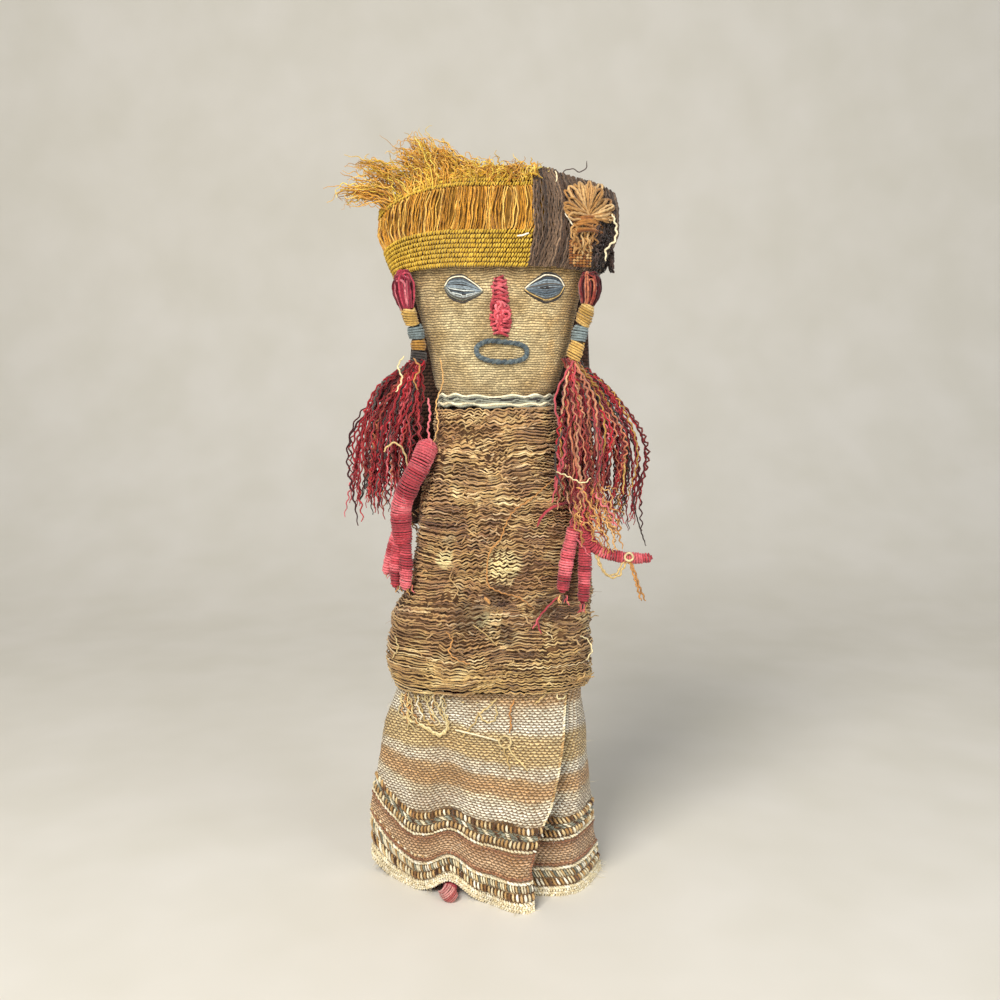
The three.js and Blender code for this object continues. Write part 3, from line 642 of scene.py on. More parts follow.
def skirt_plan(share, z):
    """Place of the strip at a share of its length, at a height: the under layer, the back, then the flap."""
    left, right, edge = (np.interp(z, SKIRT_ROWS[:, 0], SKIRT_ROWS[:, k]) for k in (1, 2, 3))
    rise = (z / 92) ** 1.3
    under, back = share < 0.3, (share >= 0.3) & (share < 0.62)
    a = np.interp(share, [0, 0.3], [-TUCK, 1])
    b = np.interp(share, [0.3, 0.62], [0, 1])
    c = np.interp(share, [0.62, 1], [0, 1])
    run = np.where(a < 0, a * 1.2, np.sin(np.pi / 2 * np.clip(a, 0, 1)))
    x_under = edge + 1 + (right - edge - 1) * run
    tucked = np.clip(-a / TUCK, 0, 1)
    depth_under = np.interp(run, UNDER_FOLDS[:, 0], UNDER_FOLDS[:, 1]) * (1 - rise)
    depth_under = depth_under + waist_depth(x_under, left, right) * rise - 1.2 * tucked * rise
    turn = np.pi * b
    x_back = left + (right - left) * (0.5 + 0.5 * np.cos(turn))
    dip = np.sin(turn)
    depth_back = 7 * (1 - dip ** 0.7) * (1 - rise) + (20.4 - 16 * dip ** 0.8) * rise
    across = 1 - np.cos(np.pi / 2 * c)
    x_flap = left + (edge - left) * across
    depth_flap = np.interp(across, FLAP_FOLDS[:, 0], FLAP_FOLDS[:, 1]) * (1 - rise)
    depth_flap = depth_flap + (waist_depth(x_flap, left, right) + 1.8 * across) * rise
    x = np.where(under, x_under, np.where(back, x_back, x_flap))
    depth = np.where(under, depth_under, np.where(back, depth_back, depth_flap))
    return x, depth


def smoothed(places, times):
    """Eases the corners of a grid of places along its rows."""
    for _ in range(times):
        inner = (places[:, :-2] + 2 * places[:, 1:-1] + places[:, 2:]) / 4
        places = np.concatenate([places[:, :1], inner, places[:, -1:]], axis=1)
    return places


SKIRT_FLOAT, SKIRT_ROW = 2.2, 1.24
SKIRT_COLUMNS = 300


def band_rise(x, up):
    """How much higher the lower bands run at the skirt's left end, where the cloth turns up as it goes back."""
    return 13 * np.clip((-36 - x) / 21, 0, 1) ** 1.4 * np.clip((70 - up) / 30, 0, 1) * np.clip(up / 12, 0, 1)


def skirt_surface(u, v):
    """The outer face up to v = 0.93, and the inner face back down to the hem, a little further in."""
    share = np.interp(u, [0, 0.25, 0.4, 1], [0, 0.3, 0.62, 1])
    rise = np.interp(v, [0, 0.93, 0.945, 1], [0, 1, 1, 0])
    height = rise * WAIST_Z
    x, depth = skirt_plan(share, height)
    lifted = 7.6 * np.exp(-(((x + 21.2) / 7.5) ** 2)) * (depth > 20) + 5 * np.clip((-47 - x) / 10, 0, 1) ** 1.5
    places = np.stack([x + SIDE_X, BACK_Y - depth, height + lifted * (1 - rise)], axis=-1)
    places = smoothed(places, 14)
    along = lengths_along(places)
    along = along - along[:, [-1]]
    up = rise * CLOTH_LENGTH
    outer = v <= 0.93
    drift = up + 0.3 * wobble(along, up, 9, 31) + 0.12 * wobble(along, up, 3, 32)
    slip = -7 * np.clip((5 - x) / 50, 0, 1) * np.clip((up - 42) / 24, 0, 1) - band_rise(x, up)
    folds = (0.5 * wobble(along, up, 12, 33) + 0.3 * wobble(along, up, 5, 34)) * np.clip(rise * 4, 0, 1)
    rim = np.clip(np.minimum(u, 1 - u) * 40 + 0.4, 0, 1) * np.clip(np.minimum(rise, 1 - rise) * 30, 0, 1)
    relief = np.where(outer, folds, 1.0 * rim - folds)
    return places, relief, np.stack([along, drift, drift + slip], axis=-1)


# %% [markdown]
# The stripes run along the cloth's length, so their colour depends only on the height above the hem: a cream hem,
# a patterned band, a mauve-brown band with a rust foot, a second patterned band, then cream and tan by turns. At
# the left the cloth was pulled up under the dress, so its stripes sit a little higher there.


# %% Skirt's stripes
def stripe_colour(finish, across, height):
    ragged = finish.math("ADD", height, finish.between(finish.noise(7), 0.2, 0.8, -1.3, 1.3))
    share = finish.between(ragged, 0, CLOTH_LENGTH)
    stops = [(0, "fff6dc"), (4.2, "f4e8c4"), (4.9, "5c4228"), (8.0, "6a4e30"), (8.8, "8d8468"), (12.2, "9c9274"),
             (13.4, "efe4c4"), (14.2, "bc8860"), (17.5, "ecc69c"), (21, "e2b88e"), (24.5, "c09068"), (26.6, "cea47a"),
             (27.6, "644628"), (31, "5a4028"), (32, "9a9a80"), (33.8, "8a8c74"), (34.6, "4a3420"), (37.8, "6c5030"),
             (38.6, "f8ecce"), (43, "fff4dc"), (47.8, "f6e6c2"), (49.6, "e2bc8c"), (53, "dcae7a"), (57, "e4c090"),
             (58.8, "fbf0d6"), (62.8, "f8eccc"), (64.6, "ecd098"), (70, "e2c48a"), (76, "ecd29c"), (79, "fff6de"),
             (89, "faeccc"), (92, "deb888")]
    colour = finish.ramp(share, [(place / CLOTH_LENGTH, code) for place, code in stops])
    # Real soil shows as tan patches; painted fold shade as broad random patches darkened towards brown.
    soil_and_shade = finish.math("MULTIPLY", finish.between(finish.noise(17), 0.45, 0.68), 0.35)
    fold_shade = finish.math("MULTIPLY", finish.between(finish.noise(30, detail=1.0), 0.5, 0.7), 0.2)
    return finish.mix(fold_shade, finish.mix(soil_and_shade, colour, paint("c2955c")), paint("6f543a"))


# The last settings give the skirt's floats a painted shadow under their sagging lower edges and painted shade in the
# gaps.
skirt_cloth = woven("striped skirt cloth", stripe_colour, SKIRT_FLOAT, SKIRT_ROW, gap="684620", depth=0.9,
                    tint=0.24, relief=1.6, slant=0.3, breaks=0.25, scallop=0.72, joints=0.24)
skirt = cloth("skirt_cloth", SKIRT_COLUMNS, 165, skirt_surface, [skirt_cloth], ["skirt"])

# %% [markdown]
# The patterned bands stand out from the cloth: rows of fat slanted stitches and round beads of yarn with dark
# holes between them. They are short strands laid on the cloth, so the cloth is measured once, as a map from
# a distance along it and a height up it to a place.

# %% Skirt's map
map_u, map_v = np.meshgrid(np.linspace(0, 1, SKIRT_COLUMNS + 1), np.linspace(0, 0.93, 120))
map_places, map_relief, map_yarn = skirt_surface(map_u, map_v)
map_normals = unit(np.cross(np.gradient(map_places, axis=1), np.gradient(map_places, axis=0)))
map_places = map_places + map_normals * map_relief[..., None]
map_along = map_yarn[..., 0]


def on_skirt(along, up, lift):
    """Points on the skirt at distances back from its free edge and heights up the cloth."""
    points = []
    for s, w, h in zip(*np.broadcast_arrays(along, up, lift)):
        middle = min(max(int(w / CLOTH_LENGTH * 119), 0), 119)
        column = int(np.interp(-s, map_along[middle], np.arange(SKIRT_COLUMNS + 1)))
        w = w + band_rise(map_places[middle, column, 0] - SIDE_X, w)
        row = min(max(w / CLOTH_LENGTH, 0), 0.999) * 119
        j = int(row)
        both = []
        for k in (j, j + 1):
            i = np.interp(-s, map_along[k], np.arange(SKIRT_COLUMNS + 1))
            c = min(int(i), SKIRT_COLUMNS - 1)
            line = map_places[k] + map_normals[k] * h
            both.append(line[c] + (line[c + 1] - line[c]) * (i - c))
        points.append(both[0] + (both[1] - both[0]) * (row - j))
    return np.array(points)


SKIRT_END = -map_along[:, 0].min() - 2


def stitch_row(up, tall, lean, step, size, finishes, rng, swell=0.55, start=0.6, stop=None):
    """A row of short fat stitches round the skirt, each one yarn from its foot to its head."""
    strands = []
    for k, s in enumerate(np.arange(start, stop or SKIRT_END, step)):
        t = np.array([-0.5, -0.28, 0, 0.28, 0.5])
        along = s + lean * t + rng.uniform(-0.12, 0.12)
        lift = np.array([-0.25, 0.62, 1, 0.62, -0.25]) * swell
        radii = size * np.array([0.55, 0.95, 1.08, 0.95, 0.55]) * rng.uniform(0.88, 1.12)
        points = on_skirt(along, up + tall * t + rng.uniform(-0.15, 0.15), lift)
        strands.append((points, radii, finishes[k % len(finishes)]))
    return strands


cream_wool = wool("cream wool", ["e8d8b0", "f8ecca", "dac69a", "fff6de"], 0.25)
honey_wool = wool("honey wool", ["a9824e", "c9a36c", "b99058", "dcc08c"], 0.3)
umber_wool = wool("umber wool", ["553a26", "7a5636", "946a42", "442c1e"], 0.35)
sea_wool = wool("sea-green wool", ["77796a", "959684", "a6a48e", "828272"], 0.3)
rust_wool = wool("rust wool", ["8a5a40", "a87a58", "966648"], 0.3)
CREAM, HONEY, UMBER, SEA, RUST = range(5)
rng = np.random.default_rng(36)
stitches = []
for k in range(4):
    stitches += stitch_row(0.4 + 1.08 * k, 1.1, 1.0 if k % 2 else -1.0, 1.15, 0.5, [CREAM], rng)
stitches += stitch_row(6.5, 3.2, 0.3, 1.75, 0.56, [HONEY, CREAM, CREAM, HONEY, CREAM, HONEY, UMBER], rng)
stitches += stitch_row(10.4, 3.4, 0.25, 1.2, 0.42, [CREAM, SEA, HONEY, CREAM], rng, 0.4)
stitches += stitch_row(12.9, 0.8, 1.7, 1.7, 0.5, [CREAM], rng)
stitches += stitch_row(16.6, 0.5, 1.0, 1.9, 0.36, [CREAM, HONEY], rng, 0.35, start=52, stop=96)
stitches += stitch_row(14.8, 0.5, 1.5, 1.6, 0.42, [RUST], rng, 0.35)
stitches += stitch_row(25.4, 0.5, 1.5, 1.6, 0.42, [RUST], rng, 0.35)
stitches += stitch_row(27.2, 0.7, 1.6, 1.6, 0.48, [CREAM], rng)
stitches += stitch_row(29.8, 3.1, 0.5, 1.85, 0.6, [HONEY, HONEY, CREAM, HONEY], rng)
for k in range(3):
    stitches += stitch_row(32.2 + 0.75 * k, 0.3, 2.0, 2.5, 0.3, [SEA, CREAM, SEA, UMBER], rng, 0.35, start=0.8 * k + 1)
stitches += stitch_row(35.9, 2.9, 1.3, 1.9, 0.58, [HONEY, UMBER, HONEY, CREAM, HONEY], rng)
STRIPE_TOPS = [(4.9, CREAM), (13, UMBER), (14.5, CREAM), (26.6, RUST), (38, UMBER), (49, CREAM), (58, HONEY),
               (64, CREAM), (78, HONEY), (90, CREAM), (99, HONEY)]


def stripe_wool(height):
    """The wool of the stripe at a height on the cloth's free edge."""
    return next(finish for top, finish in STRIPE_TOPS if height < top)


edge = np.arange(0.8, CLOTH_LENGTH - 1, 1.15)
edge = edge + rng.uniform(-0.2, 0.2, len(edge))
stitches += [(on_skirt([0.9, 0.3, -0.1], [w - 0.5, w, w + 0.5], [0.0, 0.3, 0.0]), [0.24, 0.4, 0.24], stripe_wool(w))
             for w in edge]
yarns("skirt_stitches", stitches, [cream_wool, honey_wool, umber_wool, sea_wool, rust_wool])

# %% [markdown]
# The headband is woven too, but so coarsely that each stitch can be a short, fat yarn of its own. Seven slanted
# rows make its foot, three rows its head, and between them the warps lie bare over a darker cloth.

# %% Headband's shape
CROWN_ROWS = np.array([      # height, left x, right x, front depth, back depth
    [260, -41.2, 38.6, 36.6, 1.6], [268, -44.6, 43.6, 37.6, 1.4], [279, -48.6, 48.2, 37.8, 1.5],
    [290, -47.4, 48, 36.2, 3], [297, -44, 46, 33.6, 5.6], [303, -39.6, 41.6, 30.4, 8.6]])


def crown(turn, z, lift=0.0):
    """A point of the headband's outside, by the turn round the head and the height."""
    left, right, ahead, behind = (np.interp(z, CROWN_ROWS[:, 0], CROWN_ROWS[:, k]) for k in (1, 2, 3, 4))
    left, right, ahead, behind = left - lift, right + lift, ahead + lift, behind - lift
    bulge = [np.sign(w) * np.abs(w) ** (2 / 2.6) for w in (np.sin(turn), np.cos(turn))]
    x = left + (right - left) * (0.5 + 0.5 * bulge[0])
    depth = behind + (ahead - behind) * (0.5 + 0.5 * bulge[1])
    return np.stack([x + SIDE_X, BACK_Y - depth, z + 0 * x], axis=-1)


def band_edges(turn):
    """Heights of the band's lower and upper edges, by the turn round the head."""
    x, y = crown(turn, np.full_like(turn, 280.0))[..., :2].T
    ahead = np.clip((BACK_Y - y - 20) / 17, 0, 1) ** 1.5
    drop = np.where(x < 0, 13, 7) * np.abs((x - SIDE_X) / 48) ** 4
    bump = 2.4 * ahead * np.exp(-(((x - SIDE_X - 21) / 7) ** 2))
    return 262.2 + 4.6 * ahead, 302.2 - drop + bump


ring_turns = np.linspace(-np.pi, np.pi, 4001)
ring_steps = np.linalg.norm(np.diff(crown(ring_turns, 280.0), axis=0), axis=1)
ring_run = np.concatenate([[0], np.cumsum(ring_steps)]) - ring_steps[:2000].sum()
ring_x = crown(ring_turns, 280.0)[:, 0] - SIDE_X


def on_band(run, share, lift=0.0):
    """Points on the band, `run` millimetres along it from the middle of the front, at shares of its height."""
    turn = np.interp(np.atleast_1d(run), ring_run, ring_turns)
    low, high = band_edges(turn)
    return crown(turn, low + (high - low) * share, lift)


def run_at(x):
    """How far along the band a place across its front is."""
    return np.interp(x, ring_x[1000:3001], ring_run[1000:3001])


def band_body(u, v):
    turn = (2 * np.pi * u - np.pi)
    low, high = (edge.reshape(turn.shape) for edge in band_edges(turn.ravel()))
    share = np.interp(v, [0, 0.45, 0.5, 0.55, 1], [0.01, 0.985, 1, 0.985, 0.01])
    lift = np.interp(v, [0, 0.45, 0.55, 0.966, 1], [-0.7, -0.7, -2.2, -2.2, -0.7])
    places = crown(turn, low + (high - low) * share, lift)
    along = lengths_along(places)
    relief = 0.15 * wobble(along, share * 40, 4, 41) * np.interp(v, [0, 0.03, 0.96, 1], [0, 1, 1, 0])
    return places, relief, np.stack([along, share * 40, 0 * along], axis=-1)


band_finish = Finish("band ground", sheen=0.1)
band_ground = band_finish.done(band_finish.ramp(band_finish.noise(3), [(0.3, "5a3c14"), (0.7, "8a6424")]))
band = cloth("headband_ground", 130, 30, band_body, [band_ground])

# %% [markdown]
# At the band's right end a brown stripe crosses it, and on top of it lie two knots of yarn. The stitches change
# colour there, so every strand picks its finish from its place along the band.

# %% Headband's stitches and warps
GOLD, DARK, AMBER, STITCHED = range(4)
STRIPE = (run_at(13.7), run_at(13.7) + 72)     # where the band is brown
LOW_ROWS, HIGH_ROWS = 8, 3
STITCH_STEP = 1.12


def band_runs(step):
    return np.arange(ring_run[0], ring_run[-1], step)


def band_stitches():
    rng = np.random.default_rng(42)
    strands = []
    rows = [(-0.045 + 0.051 * k, 0.051, 1.0) for k in range(LOW_ROWS)]
    rows += [(0.845 + 0.048 * k, 0.048, 0.86) for k in range(HIGH_ROWS)]
    for number, (share, tall, fat) in enumerate(rows):
        for run in band_runs(STITCH_STEP):
            if STRIPE[0] < run < STRIPE[1]:
                continue
            jitter = rng.uniform(-1, 1, 3)
            shares = share + tall * np.array([0.06, 0.3, 0.55, 0.8, 1.0]) + jitter[1] * 0.003
            lifts = np.array([-0.2, 0.45, 0.62, 0.45, -0.2]) + jitter[2] * 0.1
            lean = 0.45 * np.array([-1, -0.5, 0, 0.5, 1])
            points = on_band(run + lean + jitter[0] * 0.15, shares, lifts)
            radii = np.array([0.22, 0.44, 0.5, 0.44, 0.22]) * fat * rng.uniform(0.88, 1.1)
            strands.append((points, radii, STITCHED))
    return strands


def band_warps():
    """Bare warps between the rows, and the close brown yarns of the stripe."""
    rng = np.random.default_rng(43)
    strands = []
    for run in band_runs(0.56):
        if STRIPE[0] < run < STRIPE[1]:
            continue
        shares = np.linspace(rng.uniform(0.33, 0.38), rng.uniform(0.83, 0.87), 12)
        fade = np.sin(np.pi * np.linspace(0, 1, 12)) ** 0.6
        sway = 0.35 * np.cumsum(rng.uniform(-1, 1, 12)) + 1.5 * wobble(run, 0, 6, 44)
        lift = rng.uniform(-0.5, 0.4) + 0.4 * np.sin(np.linspace(0, 9, 12) + rng.uniform(0, 6))
        strands.append((on_band(run + sway * fade, shares, lift * fade), rng.uniform(0.18, 0.32), AMBER))
    for run in band_runs(0.72):
        if STRIPE[0] < run < STRIPE[1]:
            shares = np.linspace(-0.03, 1.0, 26) + rng.uniform(-0.01, 0.01)
            sway = 0.3 * np.sin(shares * 40 + rng.uniform(0, 6)) + 0.8 * wobble(run, shares * 9, 3, 45)
            lift = 0.35 + 0.2 * np.sin(shares * 60 + rng.uniform(0, 6))
            strands.append((on_band(run + sway, shares, lift), rng.uniform(0.32, 0.48), DARK))
    return strands


stitch_gold = wool("stitched mustard wool", ["b8922a", "c9a436", "d6b244", "c29c30"], 0.25)
gold_wool = wool("mustard wool", ["b58a1e", "dcb23a", "e8c850", "c89c2c", "f0d868"], 0.28)
brown_wool = wool("brown wool", ["4a382c", "6e5846", "5a4636", "8a7058", "3c2c22"], 0.4)
amber_wool = wool("amber wool", ["b07820", "dca03a", "c88c2c", "ecc060", "a06a1c"], 0.3)
band_finishes = [gold_wool, brown_wool, amber_wool, stitch_gold]
yarns("headband_weave", band_stitches() + band_warps(), band_finishes, ["headband"])

# %% [markdown]
# The band's own warps stick out above it as a frayed fringe, swept to the left. Loose yarn gathers into tufts, so
# the yarns of a tuft share one root and one tip, and each strays and curls a little on its own. Some have
# fallen over and lie along the band's upper rows.


# %% Fringe
TUFTS = (       # x of the root, x and height of the tip, number of yarns, width of the tuft
    (-43.5, -62, 295, 44, 2.2), (-43, -57, 301, 34, 2.2), (-41, -55, 308, 46, 2.6), (-37, -47, 306, 30, 2.6),
    (-33, -39, 312, 60, 3.2), (-28, -33, 316, 72, 3.4), (-22, -25, 314, 64, 3.4), (-16, -18, 309, 44, 3),
    (-10, -12, 306, 34, 3), (-4, -5, 306, 32, 3), (2, 2, 304, 28, 3), (8, 8, 305, 34, 3), (13, 15, 304, 18, 2.4))


def fringe_strands():
    rng = np.random.default_rng(51)
    strands = []
    for root_x, tip_x, tip_z, number, width in TUFTS:
        for _ in range(number):
            own = run_at(root_x) + rng.normal(0, 1) * width
            start = on_band(own, rng.uniform(0.84, 1.0), rng.uniform(-1.6, 0.6))[0]
            tip = np.array([tip_x + SIDE_X, start[1] + rng.uniform(-2, 6), tip_z]) + rng.normal(0, 1, 3) * [3, 2, 2]
            stop = start + (tip - start) * rng.uniform(0.5, 1.02)
            bend = start * 0.45 + stop * 0.55 + [rng.uniform(-0.5, 3), rng.uniform(-1.5, 1.5), rng.uniform(0, 3)]
            curl = stop + rng.normal(0, 1, 3) * [2.2, 1.5, 1.6] + [-1.2, 0, -0.8]
            path = crimped(flowing([start, bend, stop, curl], 0.9), rng.uniform(0.3, 0.8), rng.uniform(3, 6), rng)
            radii = np.interp(np.linspace(0, 1, len(path)), [0, 0.7, 1], [0.24, 0.2, 0.09]) * rng.uniform(0.7, 1.2)
            strands.append((path, radii, rng.choice([0, 1, 1])))
    for _ in range(44):
        x = rng.uniform(-42, 8)
        places = []
        for k in range(6):
            run = run_at(min(x + 3.2 * k, 15))
            places.append(on_band(run, 0.97 + rng.uniform(-0.04, 0.12) * np.clip((x + 45) / 30, 0.3, 1),
                                  rng.uniform(0.2, 1.6))[0])
        strands.append((crimped(flowing(places, 0.8), 0.35, 3.5, rng), rng.uniform(0.22, 0.36), rng.choice([0, 1])))
    return strands


yarns("headband_fringe", fringe_strands(), [gold_wool, amber_wool])

# %% [markdown]
# Arms, legs and the bundles at the ears are yarn wound tightly round a core. Winding is easy to draw as what it
# is: a helix round a bent path, whose turns just touch. It is cut into strands of a few turns, so that the shade
# changes along it, and its last turns close in to cover the end.

# %% Winding yarn round a path


def wound(path, radius, pitch, rng, finish=0, thick=0.56, tilt=0.0, turn_points=13, close=(True, True)):
    """Strands of yarn wound round a path. Tilt leans the turns, in millimetres from one side to the other."""
    path = flowing(path, 0.5)
    run = np.concatenate([[0], np.cumsum(np.linalg.norm(np.diff(path, axis=0), axis=1))])
    side, over = sideways(path)
    turns = int(run[-1] / pitch)
    angle = np.linspace(0, 2 * np.pi * turns, turns * turn_points)
    at = run[-1] * angle / angle[-1] + tilt / 2 * np.cos(angle) + 0.14 * wobble(angle, 0, 9, rng.integers(99))
    at = np.clip(at, 0, run[-1])
    size = np.interp(at, np.linspace(0, run[-1], len(np.atleast_1d(radius))), np.atleast_1d(radius))
    size = size + 0.22 * wobble(angle, 0, 5, rng.integers(99)) + 0.25 * wobble(angle, 0, 40, rng.integers(99))
    ends = np.minimum(at if close[0] else 9, run[-1] - at if close[1] else 9)
    size = size * np.sin(np.pi / 2 * np.clip(ends / (0.9 * size), 0, 1)) ** 0.7
    middle = np.stack([np.interp(at, run, path[:, k]) for k in range(3)], axis=1)
    sides = [unit(np.stack([np.interp(at, run, way[:, k]) for k in range(3)], axis=1)) for way in (side, over)]
    points = middle + size[:, None] * (sides[0] * np.cos(angle)[:, None] + sides[1] * np.sin(angle)[:, None])
    strands, start = [], 0
    while start < len(points) - 4:
        stop = min(len(points), start + int(turn_points * rng.uniform(1.5, 5)))
        if len(points) - stop < turn_points:
            stop = len(points)
        radii = pitch * thick * rng.uniform(0.9, 1.12) * np.ones(stop - start)
        strands.append((points[start:stop], radii, finish))
        start = stop - 1
    return strands


coral_wool = wool("coral wool", ["b03c44", "cc5860", "e0757a", "bc4850", "98343c"], 0.32)
foot_wool = wool("pale coral wool", ["bc6660", "d2847c", "e0a098", "b45a56"], 0.3)
rng = np.random.default_rng(61)

# %% [markdown]
# Each arm is one thick roll that splits into three wrapped fingers, and the legs are longer rolls of the same
# yarn. Frayed ends stick out of the fingertips.

# %% Arms and legs


def roll(rows, radius, tip=True):
    return wound(spots(*rows), radius, 1.02, rng, thick=0.53, tilt=rng.uniform(-0.9, 0.9), close=(True, tip))


arm_left = roll([(-27.7, 29.4, 196.5), (-32, 32.6, 187), (-36.6, 33, 178), (-39.9, 31.4, 169), (-39.9, 30.6, 160),
                 (-39.2, 30.6, 152)], 3.9)
arm_left += roll([(-38.6, 31.6, 158), (-38.2, 31.6, 146), (-38.6, 31.4, 134.6)], [2.5, 2.4, 2.0])
arm_left += roll([(-40.6, 30.2, 158), (-42.2, 30, 148), (-43, 29.8, 135.4)], [2.4, 2.2, 1.8])
arm_left += roll([(-41.2, 30, 160), (-44.6, 28.4, 150), (-47, 27.4, 140.4)], [1.9, 1.7, 1.4])
arm_left += roll([(-26.2, 31.2, 193), (-28.6, 33.4, 186), (-31, 35.2, 181)], [0.7, 0.9, 0.7])
yarns("arm_left_winding", arm_left, [coral_wool], ["arm_left"])

arm_right = roll([(29.8, 20.5, 192), (32.3, 22.5, 182), (35.3, 26, 173), (34.2, 34.4, 164), (32.8, 39.2, 156)], 4.1)
arm_right += roll([(30.6, 40, 163), (27.8, 40.6, 150), (25.8, 41.4, 135.6)], [2.5, 2.4, 2.0])
arm_right += roll([(34.6, 39, 162), (35, 39.6, 148), (34.4, 40.6, 130.8)], [2.5, 2.4, 2.0])
arm_right += roll([(34, 39, 163), (40, 39.6, 153), (50, 39, 149.6), (62.3, 38, 149)], [2.4, 2.2, 2.0, 1.7])
yarns("arm_right_winding", arm_right, [coral_wool], ["arm_right"])

for name, x, toe_x, toe_depth in (("leg_left", -19.5, -21.6, 38.6), ("leg_right", 14, 13, 25)):
    path = [(x, 17, 91.4), (x, 17, 50), (x, 17.4, 18), (x + (toe_x - x) * 0.3, 20, 6.6),
            (x + (toe_x - x) * 0.7, 17 + (toe_depth - 17) * 0.7, 3.3), (toe_x, toe_depth, 3.2)]
    strands = wound(spots(*path), 2.6, 0.95, rng, turn_points=11)
    toe = spot(toe_x, toe_depth - 2, 3.7)
    for k in range(9):
        lean, t = 0.75 + 0.1 * wobble(k, 0, 1, 62), np.linspace(-1.5, 1.5, 11)
        across = np.stack([np.sin(t) * math.cos(lean), -np.cos(t), np.sin(t) * math.sin(lean)], axis=1)
        shift = np.array([-math.sin(lean), 0, math.cos(lean)]) * (k - 4) * 0.6
        strands.append((toe + across * math.sqrt(10.6 - (0.6 * (k - 4)) ** 2) + shift * 1.4, 0.4, 1))
    yarns(name + "_winding", strands, [coral_wool, foot_wool], [name])

# %% [markdown]
# Beside the face hang the ear bundles. Each starts as loops of crimson yarn under the headband, and is bound
# below with a yellow, a blue and an ochre winding, end to end, the left one with a grey winding last.

# %% Ear bundles
EAR_LEFT = [(-38.2, 31, 264), (-37.6, 31.6, 255), (-35.9, 31.2, 247), (-33.2, 30.6, 240), (-32.2, 30.6, 234),
            (-32.2, 30.8, 227.6)]
EAR_RIGHT = [(36.2, 31, 264), (36.4, 31.8, 255), (34.8, 31.6, 247), (33, 31, 241), (31.6, 31, 235),
             (29.8, 31, 228.6)]
crimson_wool = wool("crimson wool", ["4c0e14", "86161f", "b0222c", "701620", "c8474a", "97181f"], 0.35)
maroon_wool = wool("maroon wool", ["3c1014", "762428", "a4483a", "561a1c", "c07452"], 0.4)
ear_crimson = wool("pink crimson wool", ["5c1220", "93243a", "b0404e", "701a2c", "cc7078"], 0.4)
dark_crimson = wool("dark crimson wool", ["2c0a10", "4a1018"], 0.3)
ochre_wool = wool("ochre wool", ["966c30", "bb9044", "a87838", "cca45a"], 0.35)
yellow_wool = wool("yellow wool", ["8f6c34", "bb9650", "a58042", "d2b06c"], 0.35)
blue_wool = wool("blue-grey wool", ["22292e", "394349", "515d63", "2b3338", "75807f"], 0.4)
grey_wool = wool("dark grey wool", ["2e2a28", "45403c", "3a3430", "58524c"], 0.3)


def part_of(path, start, end):
    """The stretch of a path between two shares of its length."""
    smooth = flowing(spots(*path), 0.4)
    run = np.linspace(0, 1, len(smooth))
    at = np.linspace(start, end, 12)
    return np.stack([np.interp(at, run, smooth[:, k]) for k in range(3)], axis=1)


def ear_loops(path, end, number, finish=0):
    """Loops of yarn that run up one side of the bundle, over its top and down another side."""
    strands = []
    middle = part_of(path, 0.0, end)
    side, over = sideways(middle)
    swell = np.interp(np.linspace(0, 1, len(middle)), [0, 0.25, 0.6, 1], [2.2, 3.6, 3.9, 2.2])
    for _ in range(number):
        turn, other = rng.uniform(-2.0, 2.0, 2)
        top = rng.uniform(0, 0.3)
        rows = np.concatenate([np.linspace(1, top, 9), np.linspace(top, 1, 9)]) * (len(middle) - 1)
        angle = np.concatenate([np.full(8, turn), [turn * 0.7 + other * 0.3, other * 0.7 + turn * 0.3], np.full(8, other)])
        places = np.stack([np.interp(rows, np.arange(len(middle)), line) for line in
                           (*middle.T, *side.T, *over.T, swell)], axis=1)
        out = places[:, 9:] * rng.uniform(0.82, 1.1) + rng.uniform(-0.3, 0.3, (18, 1))
        ways = places[:, 3:6] * np.sin(angle)[:, None] - places[:, 6:9] * np.cos(angle)[:, None]
        strands.append((flowing(places[:, :3] + out * ways, 0.9), rng.uniform(0.4, 0.56), finish))
    strands.append((middle[1:], swell[1:] - 0.7, 1))
    return strands


yarns("ear_left_loop_yarns", ear_loops(EAR_LEFT, 0.4, 17), [ear_crimson, dark_crimson], ["ear_left_loops"])
yarns("ear_right_loop_yarns", ear_loops(EAR_RIGHT, 0.36, 17), [maroon_wool, dark_crimson], ["ear_right_loops"])
bindings = (("ear_left_wrap_yellow", EAR_LEFT, 0.39, 0.585, yellow_wool, "yellow_yarn", 1.9),
            ("ear_left_wrap_blue", EAR_LEFT, 0.6, 0.735, blue_wool, "blue_yarn", 0.8),
            ("ear_left_wrap_orange", EAR_LEFT, 0.745, 0.855, ochre_wool, "ochre_yarn", 0.2),
            ("ear_left_wrap_dark", EAR_LEFT, 0.865, 0.98, grey_wool, "grey_yarn", 0.4),
            ("ear_right_wrap_yellow", EAR_RIGHT, 0.35, 0.59, yellow_wool, "yellow_yarn", 1.2),
            ("ear_right_wrap_blue", EAR_RIGHT, 0.6, 0.77, blue_wool, "blue_yarn", -1.0),
            ("ear_right_wrap_ochre", EAR_RIGHT, 0.78, 0.98, ochre_wool, "ochre_yarn", 0.9))
for name, path, start, end, finish, slot, tilt in bindings:
    strands = wound(part_of(path, start, end), [2.3, 2.8, 2.8, 2.4], 0.95, rng, tilt=tilt, close=(False, False))
    yarns(name + "_winding", strands, [finish], [name])

# %% [markdown]
# The tassels are the bundles' own yarns let loose. Each strand has kept the small waves of the cloth it was once
# woven into. They fan out from the binding, fall over the shoulder and hang at many lengths.


